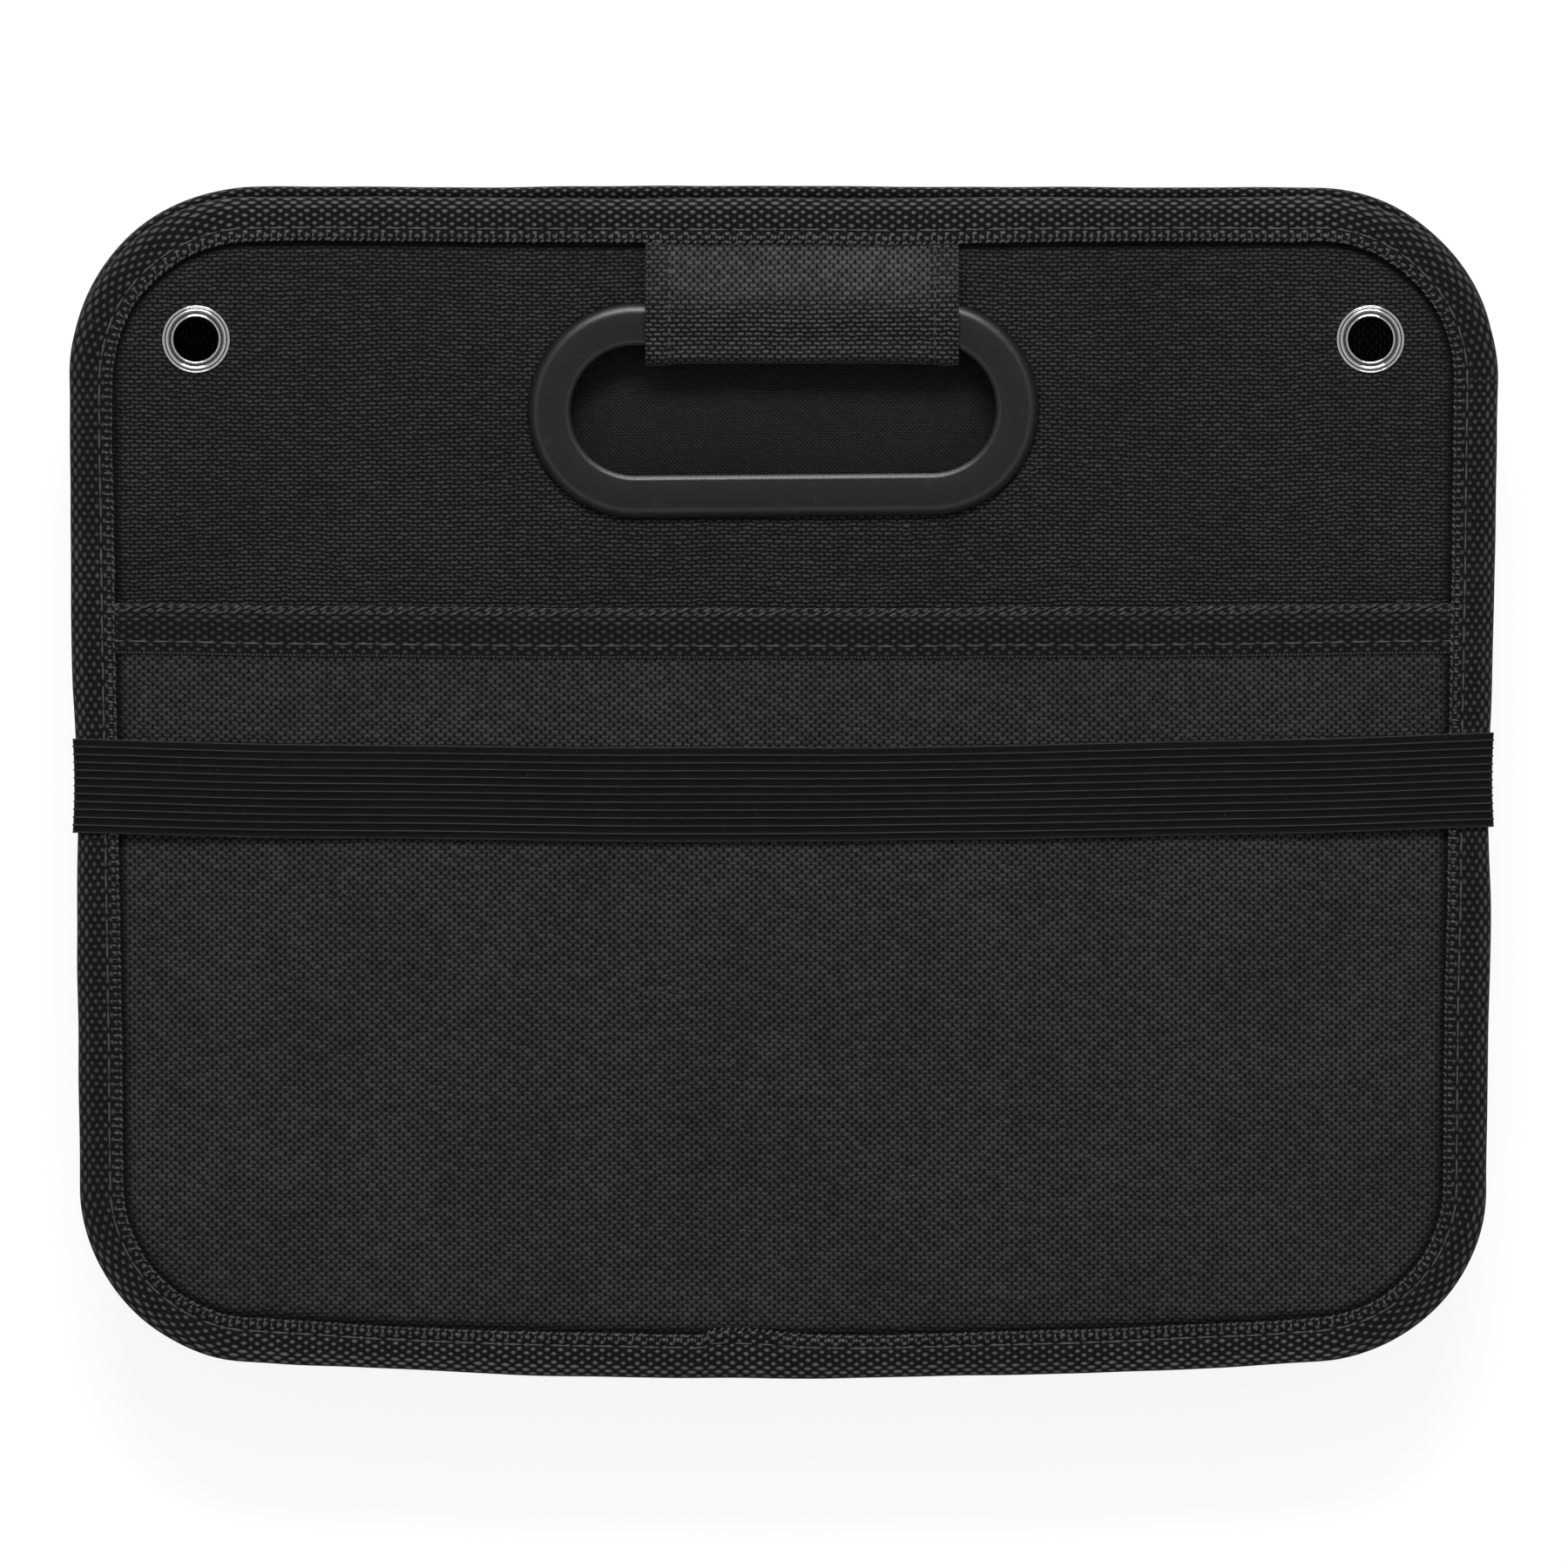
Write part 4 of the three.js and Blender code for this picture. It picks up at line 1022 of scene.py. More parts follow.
eyelet_turn = np.linspace(0, 2 * math.pi, EYELET_FACETS, endpoint=False)
for side in SIDES:
    for sign in (-1, 1):
        hand = "left" if (sign < 0) == (side == "front") else "right"
        centre = np.tile([sign * EYELET_X, eyelet_y], (EYELET_FACETS, 1))
        spokes = np.column_stack([centre, np.cos(eyelet_turn), np.sin(eyelet_turn)])
        for part, profile in (("eyelet", EYELET_PROFILE), ("eyelet_washer", WASHER_PROFILE)):
            rows = carried(side, spokes, [(-radius, z) for radius, z in profile])
            make_sweep(f"{side}_{part}_{hand}_steel", rows, steel, [f"{side}_{part}_{hand}"])


# Grip: a sleeve of coarser cloth, sewn in under the edge binding and folded round the ring's upper bar.
# Its two sides are turned in as hems and sewn, and its lower end hangs past the bar.
GRIP_WIDTH = 83.4
GRIP_OFFSET = 5
GRIP_THICKNESS = 1.2
GRIP_HANG = 5.5
GRIP_HEM = 6.9
GRIP_DARK = (0.003, 0.003, 0.0031)
GRIP_LIGHT = (0.088, 0.088, 0.09)
GRIP_SLOPE = 15.5
GRIP_GROOVE = 0.75
GRIP_GROOVE_PLACE = 0.5
GRIP_FILL = 0.46
GRIP_OUT = 3.1
GRIP_IN = 2.1


def grip_fill(uv):
    """Fuller yarns make the sleeve lighter. Over its sloped top this is partly painted light, for the light
    falling on the slope, and partly yarns closing up where the sleeve is drawn flat; at the bar and the hems
    they stand apart.
    """
    x, y = in_millimetres(uv)[1:]
    # Painted light: the top, which slopes towards the light, is filled fuller and so lighter.
    above = fade(y, GRIP_SLOPE + 8, GRIP_SLOPE - 6)
    below = fade(y, GRIP_SLOPE + 10, GRIP_SLOPE + 14)
    from_side = x.math("MINIMUM", GRIP_WIDTH - x)
    inner = fade(from_side, GRIP_HEM - 0.5, GRIP_HEM + 0.5) * 0.6 + 0.4
    return above.math("MAXIMUM", below * 0.3) * inner * GRIP_FILL


grip_cloth = woven_finish(
    "grip_cloth", GRIP_DARK, GRIP_LIGHT, relief=0.7, lint=0.6, fill_share=grip_fill,
    Float_Length=2.26, Row_Pitch=1.23, Waver=0.5, Openness=0.42, Pit=0.66,
)


def rounded_line(corners, rounds=3):
    """A line with its corners cut smooth, as Chaikin does, and its ends kept."""
    line = np.asarray(corners, float)
    for _ in range(rounds):
        near = line[:-1] * 0.75 + line[1:] * 0.25
        far = line[:-1] * 0.25 + line[1:] * 0.75
        middle = np.stack([near, far], 1).reshape(-1, line.shape[1])
        line = np.concatenate([line[:1], middle[1:-1], line[-1:]])
    return line


def line_sides(line):
    """Directions square to a line of points in a plane, to the left of its way."""
    way = np.gradient(line, axis=0)
    way /= np.linalg.norm(way, axis=1, keepdims=True)
    return np.stack([-way[:, 1], way[:, 0]], -1)


half_grip = GRIP_THICKNESS / 2
bar_top = ring_y + RING_DEPTH / 2
bar_bottom = bar_top - RING_BAR
grip_sewn = half_height - BINDING_WIDTH - SEAT_GAP
grip_fold = bar_bottom - GRIP_HANG + half_grip
grip_outer = GRIP_OUT + half_grip
grip_back = -PANEL_DEPTH - PLY_GAP
grip_inner = grip_back - GRIP_IN - half_grip
grip_line = rounded_line([
    (grip_sewn, half_grip - 0.4), (grip_sewn - 2.5, 0.2 + half_grip), (bar_top + 6, grip_outer - 0.9),
    (bar_top + 2, grip_outer + 0.4), (bar_top - 1.9, grip_outer + 0.7), (bar_bottom + 4, grip_outer + 0.2),
    (grip_fold + 2, grip_outer - 0.7), (grip_fold + 0.5, grip_outer - 2.2), (grip_fold, grip_outer - 4.4),
    (grip_fold, grip_inner + 4.4), (grip_fold + 0.5, grip_inner + 2.2), (grip_fold + 2, grip_inner + 0.7),
    (bar_bottom + 1, grip_inner), (bar_top - 1.9, grip_inner), (bar_top + 2, grip_inner + 0.3),
    (bar_top + 7, grip_back - half_grip - 0.5), (grip_sewn, grip_back - half_grip),
])
grip_sides = line_sides(grip_line)
grip_along = path_length(grip_line, False)
grip_left, grip_right = GRIP_OFFSET - GRIP_WIDTH / 2, GRIP_OFFSET + GRIP_WIDTH / 2


def grip_rows(seed):
    """Sections of the sleeve from hem to hem: thicker at the hems, and waved a little between them."""
    inner = np.linspace(grip_left + GRIP_HEM + 0.6, grip_right - GRIP_HEM - 0.6, 30)
    edge = np.array([0.0, 0.25, 0.9, 2.5, GRIP_HEM - 1.6, GRIP_HEM - 0.9, GRIP_HEM - 0.5, GRIP_HEM - 0.1])
    rows = []
    for x in np.concatenate([grip_left + edge, inner, (grip_right - edge)[::-1]]):
        from_side = min(x - grip_left, grip_right - x)
        in_groove = max(0, 1 - abs(from_side - GRIP_HEM + GRIP_GROOVE_PLACE) / 0.6)
        hem = (0.4 if from_side < GRIP_HEM else 0.0) - GRIP_GROOVE * in_groove
        round_off = 0.45 * (1 - min(1, from_side / 0.9)) ** 2
        waves = 0.16 * ripple(grip_along * 0 + x, grip_along, 17, seed) - 0.16
        waves = waves * smooth(from_side, GRIP_HEM, GRIP_HEM + 10)
        outwards = grip_line - grip_sides * (half_grip - round_off - 0.3 + hem + waves)[:, None]
        inwards = grip_line + grip_sides * (half_grip - round_off)
        section = np.concatenate([outwards, inwards[::-1]])
        rows.append(np.column_stack([np.full(len(section), x), section]))
    return np.stack(rows)


for side in SIDES:
    rows = on_panel(side, grip_rows(5.5))
    grip = make_sweep(
        f"{side}_grip_cloth", rows, grip_cloth, [f"{side}_grip_sleeve"], is_ring=False,
    )


# Elastic band: a ribbed rubber webbing, sewn to a loop and pulled over the folded pack to hold it shut.
# Thin bright ribs run along it between darker channels, and its edges are firm selvedges.
BAND_WIDTH = 25
BAND_THICKNESS = 1.25
BAND_RIBS = 12
BAND_RIB_DEPTH = 0.35
BAND_HEIGHT = -0.3
BAND_LEAN = 0.8
BAND_SAG = 3
BAND_BEND = 1.8
BAND_EDGE_HEIGHT = 2.2
BAND_RISE = 0.85
BAND_SQUEEZE = 0.75
BAND_WAIST = 0.45
HALF_PACK = 19
BAND_DARK = (0.0022, 0.0022, 0.0023)
BAND_MIDDLE = (0.0068, 0.0068, 0.0069)
BAND_RIB_LIGHT = (0.053, 0.053, 0.054)
RIB_SHAPE = ((-0.2, 0.05), (-0.09, 0.22), (0.0, 0.35), (0.09, 0.22), (0.2, 0.05), (0.5, 0.12))
BAND_BORDER = 0.12


def band_profile():
    """The band's section: points across it and their height over its inner face."""
    pitch = BAND_WIDTH / BAND_RIBS
    base = BAND_THICKNESS - BAND_RIB_DEPTH
    top = [((rib + offset) * pitch, base + h) for rib in range(BAND_RIBS + 1) for offset, h in RIB_SHAPE]
    top = [(a, h) for a, h in top if BAND_BORDER < a < BAND_WIDTH - BAND_BORDER]
    left = [(0.1, 0.0), (0.0, base * 0.5), (0.03, base)]
    right = [(BAND_WIDTH - a, h) for a, h in left[::-1]]
    return [(a - BAND_WIDTH / 2, h) for a, h in left + top + right]


def elastic_ribs(given):
    """Elastic webbing: bright cords along the ribs, and a fine crosswise ripple between them."""
    position, x, y = in_millimetres(given["Position"])
    y = (cloud(position, 0.15) - 0.5) * 0.25 + y
    cell = (y - given["First Rib"]) / given["Rib Pitch"]
    rib = fade(abs((cell + 0.5).math("FRACT") - 0.5), 0.13, 0.04)
    tick = ((x + y * 0.6) / 0.62).math("FRACT")
    cross = fade(abs(tick - 0.5), 0.5, 0.1)
    from_edge = y.math("MINIMUM", given["Width"] - y)
    rolled = fade(abs(from_edge - 1.0), 0.35, 0.15)
    cords = (rib * (cloud(position, 0.9) * 0.8 + 0.6)).math("MAXIMUM", rolled)
    selvedge = fade(from_edge, 2.2, 1.6)
    return {"Rib": cords, "Ripple": cross, "Selvedge": selvedge, "Height": cross * 0.25 + rib}


ELASTIC_RIBS = shader_group("elastic ribs", elastic_ribs, Width=28.0, First_Rib=1.0, Rib_Pitch=2.3)
elastic, elastic_shader, elastic_uv = new_finish("elastic_webbing", specular=0.08, sheen=0.02)
band_across = path_length(np.array(band_profile()), False)
rib_tops = band_across[[height > BAND_THICKNESS - 0.01 for _, height in band_profile()]]
ribs = add_group(
    ELASTIC_RIBS, elastic_uv,
    Width=band_across[-1], First_Rib=rib_tops[0], Rib_Pitch=np.diff(rib_tops).mean(),
)
channel = mix_colour(ribs["Selvedge"] * 0.5 + ribs["Ripple"] * 0.6, BAND_DARK, BAND_MIDDLE)
ribbed = mix_colour(ribs["Rib"], channel, BAND_RIB_LIGHT)
elastic_colour = mix_colour(add_group(LINT, elastic_uv, Lint=0.3)["Lint"], ribbed, LINT_COLOUR)
dress(elastic_shader, elastic_colour, 0.8, ribs["Height"], 0.15)


def band_centreline(step):
    """The loop's inner face seen along the panels, as x, z and outward directions, with its side."""
    reach = half_width_at(BAND_HEIGHT) + SEAT_GAP - BAND_SQUEEZE
    turn_x = reach - BAND_BEND
    half_thick = HALF_PACK + BAND_EDGE_HEIGHT
    x = np.linspace(-turn_x, turn_x, round(2 * turn_x / step) + 1)
    share = x / turn_x
    z = half_thick + BAND_RISE * (1 - share**4)
    run = np.stack([x, z, 4 * BAND_RISE * share**3 / turn_x, np.ones_like(x)], -1)
    bend = arc(turn_x, half_thick - BAND_BEND, BAND_BEND, QUARTER, 0, 0.4)[1:]
    far = arc(-turn_x, half_thick - BAND_BEND, BAND_BEND, math.pi, QUARTER, 0.4)[:-1]
    down = np.linspace(half_thick - BAND_BEND, BAND_BEND - half_thick, 12)[1:-1]
    fall = np.stack([np.full_like(down, reach), down, np.ones_like(down), down * 0], -1)
    return np.concatenate([far, run, bend, fall]), reach


half_loop, band_reach = band_centreline(3.0)
rows = []
for turn in (1, -1):
    x, z, nx, nz = half_loop.T
    share = np.clip(turn * x / band_reach, -1, 1)
    sag = BAND_SAG * (1 - share**2) * (turn > 0)
    centre = BAND_HEIGHT + BAND_LEAN * share - sag + 0.25 * ripple(turn * x, z, 45, 6.5)
    width = 1 + 0.02 * ripple(turn * x, z, 60, 8.5)
    on_side = np.clip(1 - (band_reach - np.abs(x)) / 2, 0, 1)
    section = [
        np.column_stack([
            turn * (x + nx * out - np.sign(x) * BAND_WAIST * on_side * (1 - (2 * across / BAND_WIDTH) ** 2)),
            centre + across * width,
            REAR_FACE + HALF_PACK + turn * (z + nz * out),
        ])
        for across, out in band_profile()
    ]
    rows.append(np.stack(section, 1))
make_sweep("elastic_band_webbing", np.concatenate(rows), elastic, ["elastic_band"])


# Side walls and base: cloth sleeves with a board in each half, folded on one crease between the panels.
# Their outer cloth flares at the open side, where it is sewn in under the bindings of both panels.
SLEEVE_CLOTH = 0.6
FLARE_CLOTH = 0.5
WALL_BOARD = 1.8
BOARD_CLEARANCE = 0.15
FOLD_GAP = 0.6
FOLD_SPACING = 0.4
FOLD_REACH = 284
SLEEVE_INSET = 16
FLARE_INSET = 8
BOARD_END_GAP = 1.5
CREASE_MARGIN = 6
WALL_TOP_MARGIN = 16
RIM_HEIGHT = 10
HARDWARE_GAP = 3.8
TAPE_CROWN = 0.15
WALL_STEP = 5.0

half_fold = 2 * SLEEVE_CLOTH + WALL_BOARD + 2 * BOARD_CLEARANCE
fold_depth = 2 * half_fold + FOLD_GAP
base_level = FRONT_FACE - PANEL_DEPTH - HARDWARE_GAP - fold_depth / 2
right_level = base_level - fold_depth - FOLD_SPACING
left_level = right_level - fold_depth - FOLD_SPACING
flare_margin = PANEL_DEPTH + PLY_GAP + TAPE_THICKNESS + TAPE_CROWN + SEAT_GAP
flare_top = FRONT_FACE - flare_margin
flare_bottom = REAR_FACE + flare_margin
crease = SLEEVE_INSET + FOLD_REACH - fold_depth / 2


def flare_loop(start_v, end_v):
    """Outline of the slack outer cloth that runs from the fold's edge to a binding."""
    share = np.linspace(0, 1, 9)
    u = SLEEVE_INSET - FLARE_CLOTH / 2 + (FLARE_INSET - SLEEVE_INSET + FLARE_CLOTH) * share
    line = np.column_stack([u + 1.6 * np.sin(math.pi * share), start_v + (end_v - start_v) * share])
    half_cloth = line_sides(line) * FLARE_CLOTH / 2
    return np.concatenate([line + half_cloth, (line - half_cloth)[::-1]])


def wall_section(level):
    """Outline of a folded sleeve, and then of the cavities that its two boards lie in."""
    top, bottom = level + FOLD_GAP / 2, level - FOLD_GAP / 2
    nose = fold_depth / 2
    angles = np.linspace(QUARTER, -QUARTER, 17)
    run = np.linspace(SLEEVE_INSET, crease, 30)[:-1]
    loops = [np.concatenate([
        np.column_stack([run, np.full_like(run, top + half_fold)]),
        np.column_stack([crease + nose * np.cos(angles), level + nose * np.sin(angles)]),
        np.column_stack([run[::-1], np.full_like(run, bottom - half_fold)]),
        flare_loop(bottom - FLARE_CLOTH / 2, flare_bottom),
        [[crease - 1, bottom], [crease - 1, top]],
        flare_loop(top + FLARE_CLOTH / 2, flare_top),
    ])]
    for sign in (1, -1):
        near = level + sign * (FOLD_GAP / 2 + SLEEVE_CLOTH)
        low, high = sorted([near, near + sign * (WALL_BOARD + 2 * BOARD_CLEARANCE)])
        left, right = SLEEVE_INSET + BOARD_END_GAP, crease - CREASE_MARGIN
        loops.append(np.array([[left, low], [right, low], [right, high], [left, high]]))
    return loops


def flat_area(loop):
    """Signed area of a closed loop in a plane."""
    x, y = loop.T
    return float(np.sum(x * np.roll(y, -1) - y * np.roll(x, -1))) / 2


def make_wall(name, level, place, start, end, along_x, finish):
    """A folded sleeve: its outline and cavities carried along the fold, with the flares waved a little."""
    loops = wall_section(level)
    stations = np.linspace(start, end, round((end - start) / WALL_STEP) + 1)
    points, faces, uvs, near, far = [], [], [], [], []
    for loop in loops:
        is_outline = loop is loops[0]
        rows = []
        for station in stations:
            u, v = loop.T
            if is_outline:
                slack = np.clip((SLEEVE_INSET - 0.5 - u) / 4, 0, 1)
                u = u + slack * 1.3 * ripple(v * 0 + station, v, 28, level)
            w = np.full_like(u, station)
            rows.append(np.stack([w, place(u), v] if along_x else [place(u), w, v], -1))
        rows = np.stack(rows)
        made, spread = swept(rows, stations - start, path_length(loop, True), is_ring=False)
        first = sum(len(p) for p in points)
        last = first + (len(stations) - 1) * len(loop)
        points.append(rows.reshape(-1, 3))
        way = 1 if is_outline else -1
        faces += [tuple(first + i for i in face[::way]) for face in made[:-2]]
        uvs += [uv[::way] for uv in spread[:-2]]
        near += range(first, first + len(loop))
        far += range(last, last + len(loop))
    flat, ends = fill(np.concatenate(loops), loops)
    for face in ends.tolist():
        order = face if flat_area(flat[face]) * flat_area(loops[0]) > 0 else face[::-1]
        faces += [tuple(near[i] for i in order[::-1]), tuple(far[i] for i in order)]
        uvs += [flat[order[::-1]], flat[order]]
    wall = make_piece(f"{name}_cloth", np.concatenate(points), faces, uvs, finish, [f"{name}_cover"])
    (end - start) * MM


wall_from = low_corner_y + SEAT_GAP
wall_to = half_height - WALL_TOP_MARGIN - RIM_HEIGHT - SEAT_GAP
side_reach = low_half_width + 1
base_half = low_corner_x - SEAT_GAP
WALLS = {
    "left_wall": (left_level, lambda u: -side_reach + u),
    "right_wall": (right_level, lambda u: side_reach - u),
}
for name, (level, place) in WALLS.items():
    make_wall(name, level, place, wall_from, wall_to, False, cover_cloth)
make_wall(
    "base", base_level, lambda u: 1 - half_height + u, -base_half, base_half, True,
    lining_cloth,
)


# Rims: tape folded over the upper edge of each side wall, over both halves and round the crease.
# They are the same dotted tape as the pocket's.
RIM_ROUND = 1.2


def rim_rows(level, place):
    """A rounded section across the wall's edge, carried along one half, round the crease and back."""
    middle = FOLD_GAP / 2 + half_fold / 2
    run = np.linspace(SLEEVE_INSET, crease, 70)[:-1]
    line = np.concatenate([
        np.column_stack([run, run * 0 + middle, run * 0, run * 0 + 1]),
        arc(crease, 0, middle, QUARTER, -QUARTER, middle * math.pi / 12),
        np.column_stack([run[::-1], run * 0 - middle, run * 0, run * 0 - 1]),
    ])
    half = half_fold / 2
    corner = [(half - RIM_ROUND * (1 - math.sin(a)), RIM_HEIGHT - RIM_ROUND * (1 - math.cos(a)))
              for a in np.linspace(QUARTER, 0, 5)]
    section = [(half, 0.0), (half, RIM_HEIGHT / 2), *corner]
    section += [(-n, w) for n, w in section[::-1]]
    x, y = line[:, :2].T
    rows = []
    for n, w in section:
        u, v = (line[:, :2] + line[:, 2:] * n).T
        waver = 0.3 * ripple(x, y, 26, level) * (w / RIM_HEIGHT)
        rows.append(np.column_stack([place(u), wall_to + SEAT_GAP + w + waver, level + v]))
    return np.stack(rows, 1)


for name, (level, place) in WALLS.items():
    rows = rim_rows(level, place)
    make_sweep(f"{name}_rim_tape", rows, pocket_tape, [f"{name}_rim"], is_ring=False)


# Corner gussets: the cloth that joins each side wall to the base, folded in round the lower corner.
# It is slack, so it pleats a little along the corner.
GUSSET_PLEAT = 1.1


def gusset_rows(sign, side_level):
    """A slack fold between the two bindings, carried round the lower left or lower right corner."""
    corner = low_corner(sign, 1.6)
    steps = np.linspace(0, 1, len(corner))
    towards_base = steps if sign < 0 else 1 - steps
    middle = side_level + (base_level - side_level) * towards_base
    depth = SLEEVE_INSET - FLARE_INSET
    heights = np.linspace(1, -1, 15)
    outer = [(depth * (1 - abs(h)) ** 0.8, h) for h in heights]
    inner = [(across + FLARE_CLOTH * (2 - abs(h)), h) for across, h in outer[::-1]]
    rows = []
    for across, h in outer + inner:
        slack = math.sin(math.pi * min(1, abs(h))) ** 2
        pleat = GUSSET_PLEAT * slack * ripple(corner[:, 0], corner[:, 1] + 40 * h, 9, side_level)
        ground = inset(corner, FLARE_INSET + across + pleat)
        end = flare_top if h > 0 else flare_bottom
        rows.append(np.column_stack([ground, middle + (end - middle) * abs(h)]))
    return np.stack(rows, 1)


for hand, sign, level in (("left", -1, left_level), ("right", 1, right_level)):
    rows = gusset_rows(sign, level)
    gusset = make_sweep(
        f"{hand}_gusset_cloth", rows, cover_cloth, [f"{hand}_corner_gusset"], is_ring=False,
    )


# Seams: black polyester thread. A lockstitch holds the bindings, tapes and hems.
# The looped selvedges of the tapes stand up as small pale loops along their inner edges.
THREAD_RADIUS = 0.24
BINDING_SEAM = 8.0
SEAM_PITCH = 6.2
SELVEDGE_PITCH = 1.85
LAP_LENGTH = 18
LAP_STEP_SHARE = 1.6
YARN_RADIUS = 0.3
SELVEDGE_LINES = (("selvedge", 11.15, 1.22, 1.4, 0.7, 3), ("loops", 9.9, 1.38, 1.5, 1.45, 4))
POCKET_SEAM = (-10.1, 1.58)
POCKET_SELVEDGES = ((-0.5, 1.38), (-1.7, 1.6))
HEM_SINK = 0.35
THREAD_DARK = (0.022, 0.022, 0.0225)
THREAD_LIGHT = (0.115, 0.115, 0.118)
YARN_DARK = (0.018, 0.018, 0.0185)
YARN_LIGHT = (0.11, 0.11, 0.113)


def thread_material(name, dark, light):
    """Twisted polyester thread, with a faint gloss and lint."""
    material, shader, place = new_finish(name, specular=0.25, sheen=0.1, has_map=False)
    twist = cloud(place, 2600, 1.0)
    tone = (twist + add_group(LINT, place, Patch_Size=6.0, Lint=0.2)["Tone"]) * 0.5
    dress(shader, mix_colour(tone, dark, light), 0.6, twist, 0.06)
    return material


seam_thread = thread_material("seam_thread", THREAD_DARK, THREAD_LIGHT)
selvedge_yarn = thread_material("selvedge_yarn", YARN_DARK, YARN_LIGHT)


def stitch_tree():
    """Short threads laid one after another along a line, each half sunk in the cloth."""
    tree = bpy.data.node_groups.new("stitches", "GeometryNodeTree")
    kinds = {"Line": "Geometry", "Pitch": "Float", "Length": "Float", "Radius": "Float", "Turn": "Float",
             "Unevenness": "Float", "Seed": "Int", "Thread": "Material"}
    for label, kind in kinds.items():
        tree.interface.new_socket(label, in_out="INPUT", socket_type=f"NodeSocket{kind}")
    tree.interface.new_socket("Stitches", in_out="OUTPUT", socket_type="NodeSocketGeometry")
    given = {socket.name: Value(socket) for socket in tree.nodes.new("NodeGroupInput").outputs}

    def add(kind, inputs=(), **settings):
        """One of the nodes that lay the stitches."""
        return add_node(tree, kind, inputs, **settings)

    curve = add("GeometryNodeMeshToCurve", {"Mesh": given["Line"]})
    spaced = add("GeometryNodeResampleCurve", {"Curve": curve, "Length": given["Pitch"]}, mode="LENGTH")
    aligned = add("FunctionNodeAlignRotationToVector", {"Vector": add("GeometryNodeInputTangent")}, axis="X")
    turn = add("FunctionNodeEulerToRotation", {0: add("ShaderNodeCombineXYZ", {"Z": given["Turn"]})})
    turned = add(
        "FunctionNodeRotateRotation", {"Rotation": aligned, "Rotate By": turn}, rotation_space="LOCAL",
    )
    spread = {"Min": 1 - given["Unevenness"], "Max": given["Unevenness"] + 1, "Seed": given["Seed"]}
    uneven = add("FunctionNodeRandomValue", spread, data_type="FLOAT_VECTOR")
    half_sizes = {"X": given["Length"] * 0.5, "Y": given["Radius"], "Z": given["Radius"]}
    scale = add(
        "ShaderNodeVectorMath", {0: add("ShaderNodeCombineXYZ", half_sizes), 1: uneven}, operation="MULTIPLY",
    )
    ball = add("GeometryNodeMeshUVSphere", {"Segments": 8, "Rings": 5, "Radius": 1})
    stitch = {"Points": spaced, "Instance": ball, "Rotation": turned, "Scale": scale}
    laid = add("GeometryNodeInstanceOnPoints", stitch)
    shaded = add("GeometryNodeSetShadeSmooth", {"Geometry": add("GeometryNodeRealizeInstances", {0: laid})})
    painted = add("GeometryNodeSetMaterial", {"Geometry": shaded, "Material": given["Thread"]})
    plug(painted, tree.nodes.new("NodeGroupOutput").inputs[0])
    return tree


STITCHES = stitch_tree()


def sew(name, lines, pitch, length, radius, thread, turn=0.0, unevenness=0.12, seed=1, closed=False):
    """A piece of stitches along lines of points in millimetres."""
    points, edges = [], []
    for line in lines:
        first = len(points)
        points += (np.asarray(line) * MM).tolist()
        edges += [(first + i, first + i + 1) for i in range(len(line) - 1)]
        if closed:
            edges.append((len(points) - 1, first))
    mesh = bpy.data.meshes.new(f"{name}_line")
    mesh.from_pydata(points, edges, [])
    guide = bpy.data.objects.new(f"{name}_line", mesh)
    scene.collection.objects.link(guide)
    modifier = guide.modifiers.new("stitches", "NODES")
    modifier.node_group = STITCHES
    values = {
        "Pitch": pitch * MM, "Length": length * MM, "Radius": radius * MM, "Turn": turn,
        "Unevenness": unevenness, "Seed": seed, "Thread": thread,
    }
    for item in STITCHES.interface.items_tree:
        if item.in_out == "INPUT" and item.name in values:
            modifier[item.identifier] = values[item.name]
    depsgraph = bpy.context.evaluated_depsgraph_get()
    stitched = bpy.data.meshes.new_from_object(guide.evaluated_get(depsgraph), depsgraph=depsgraph)
    bpy.data.objects.remove(guide)
    piece = bpy.data.objects.new(name, stitched)
    scene.collection.objects.link(piece)
    return seat_piece(piece)


def binding_line(side, depth, height):
    """A line along a binding's face at a depth from the panel's edge."""
    waver = binding_waver(fine_edge, BINDING_SEEDS[side], LAP_STEP_SHARE) * depth / BINDING_WIDTH
    lift = under_binding(*inset(fine_edge, BINDING_ROUND).T)
    return on_panel(side, np.column_stack([inset(fine_edge, depth + waver), lift + height]))


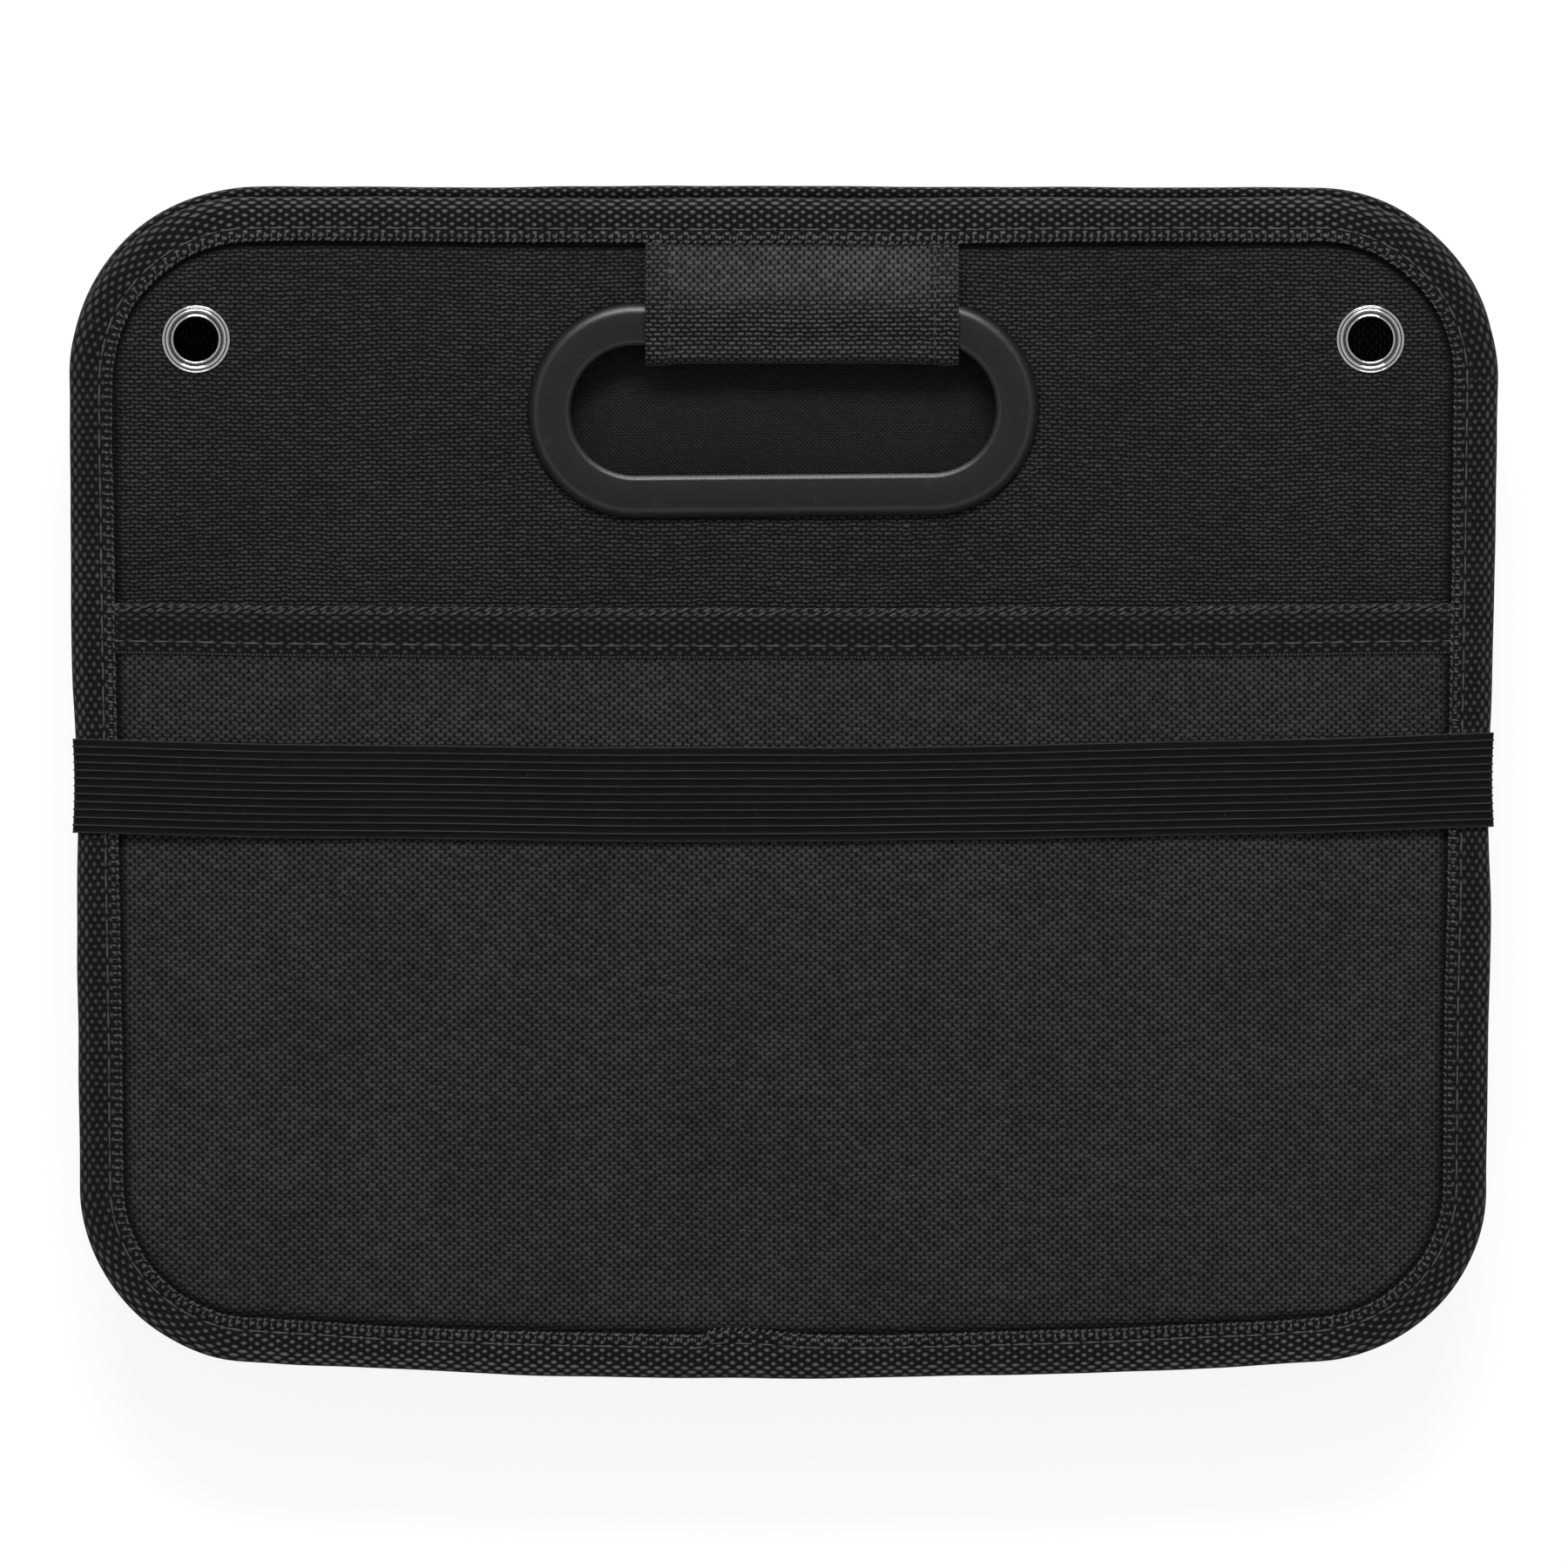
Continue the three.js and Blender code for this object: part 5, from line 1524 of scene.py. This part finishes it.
for side in SIDES:
    seam = [binding_line(side, BINDING_SEAM, 1.1)]
    sew(f"{side}_binding_seam", seam, SEAM_PITCH, SEAM_PITCH * 0.93, THREAD_RADIUS, seam_thread, closed=True)
    for label, depth, height, length, turn, seed in SELVEDGE_LINES:
        sew(f"{side}_binding_{label}", [binding_line(side, depth, height)], SELVEDGE_PITCH, length,
            YARN_RADIUS, selvedge_yarn, turn=turn, unevenness=0.35, seed=seed, closed=True)
    seam = [on_panel(side, mouth_line(*POCKET_SEAM))]
    sew(f"{side}_pocket_seam", seam, 6.0, 5.4, THREAD_RADIUS, seam_thread, seed=5)
    loops = [on_panel(side, mouth_line(across, height)) for across, height in POCKET_SELVEDGES]
    sew(f"{side}_pocket_selvedge", loops, 2.9, 2.2, 0.27, selvedge_yarn, turn=0.45, unevenness=0.25, seed=6)

    hems = []
    hem_inset = GRIP_HEM - GRIP_GROOVE_PLACE
    shown = (grip_line - grip_sides * (half_grip - HEM_SINK))[2:-2]
    for hem_x in (grip_left + hem_inset, grip_right - hem_inset):
        hems.append(on_panel(side, np.column_stack([np.full(len(shown), hem_x), shown])))
    sew(f"{side}_grip_hem_seam", hems, 3.1, 2.3, THREAD_RADIUS, seam_thread, seed=8)


# Lap seam: the band's ends are lapped in the middle of the rear panel and sewn through with black thread.
# The stitches make a box, with a second row at one of its ends.
lap_top = REAR_FACE - BAND_EDGE_HEIGHT - BAND_RISE - BAND_THICKNESS
box_y = np.linspace(-BAND_WIDTH / 2 + 2, BAND_WIDTH / 2 - 2, 12) + BAND_HEIGHT
box_x = np.linspace(-LAP_LENGTH / 2, LAP_LENGTH / 2, 12)
lap_z = np.full(len(box_x), lap_top)
lap_lines = [np.column_stack([np.full_like(box_y, x), box_y, lap_z]) for x in box_x[[0, 1, -1]]]
lap_lines += [np.column_stack([box_x, np.full_like(box_x, y), lap_z]) for y in box_y[[0, -1]]]
sew("elastic_band_lap_seam", lap_lines, 2.4, 2.1, THREAD_RADIUS, seam_thread, seed=9)
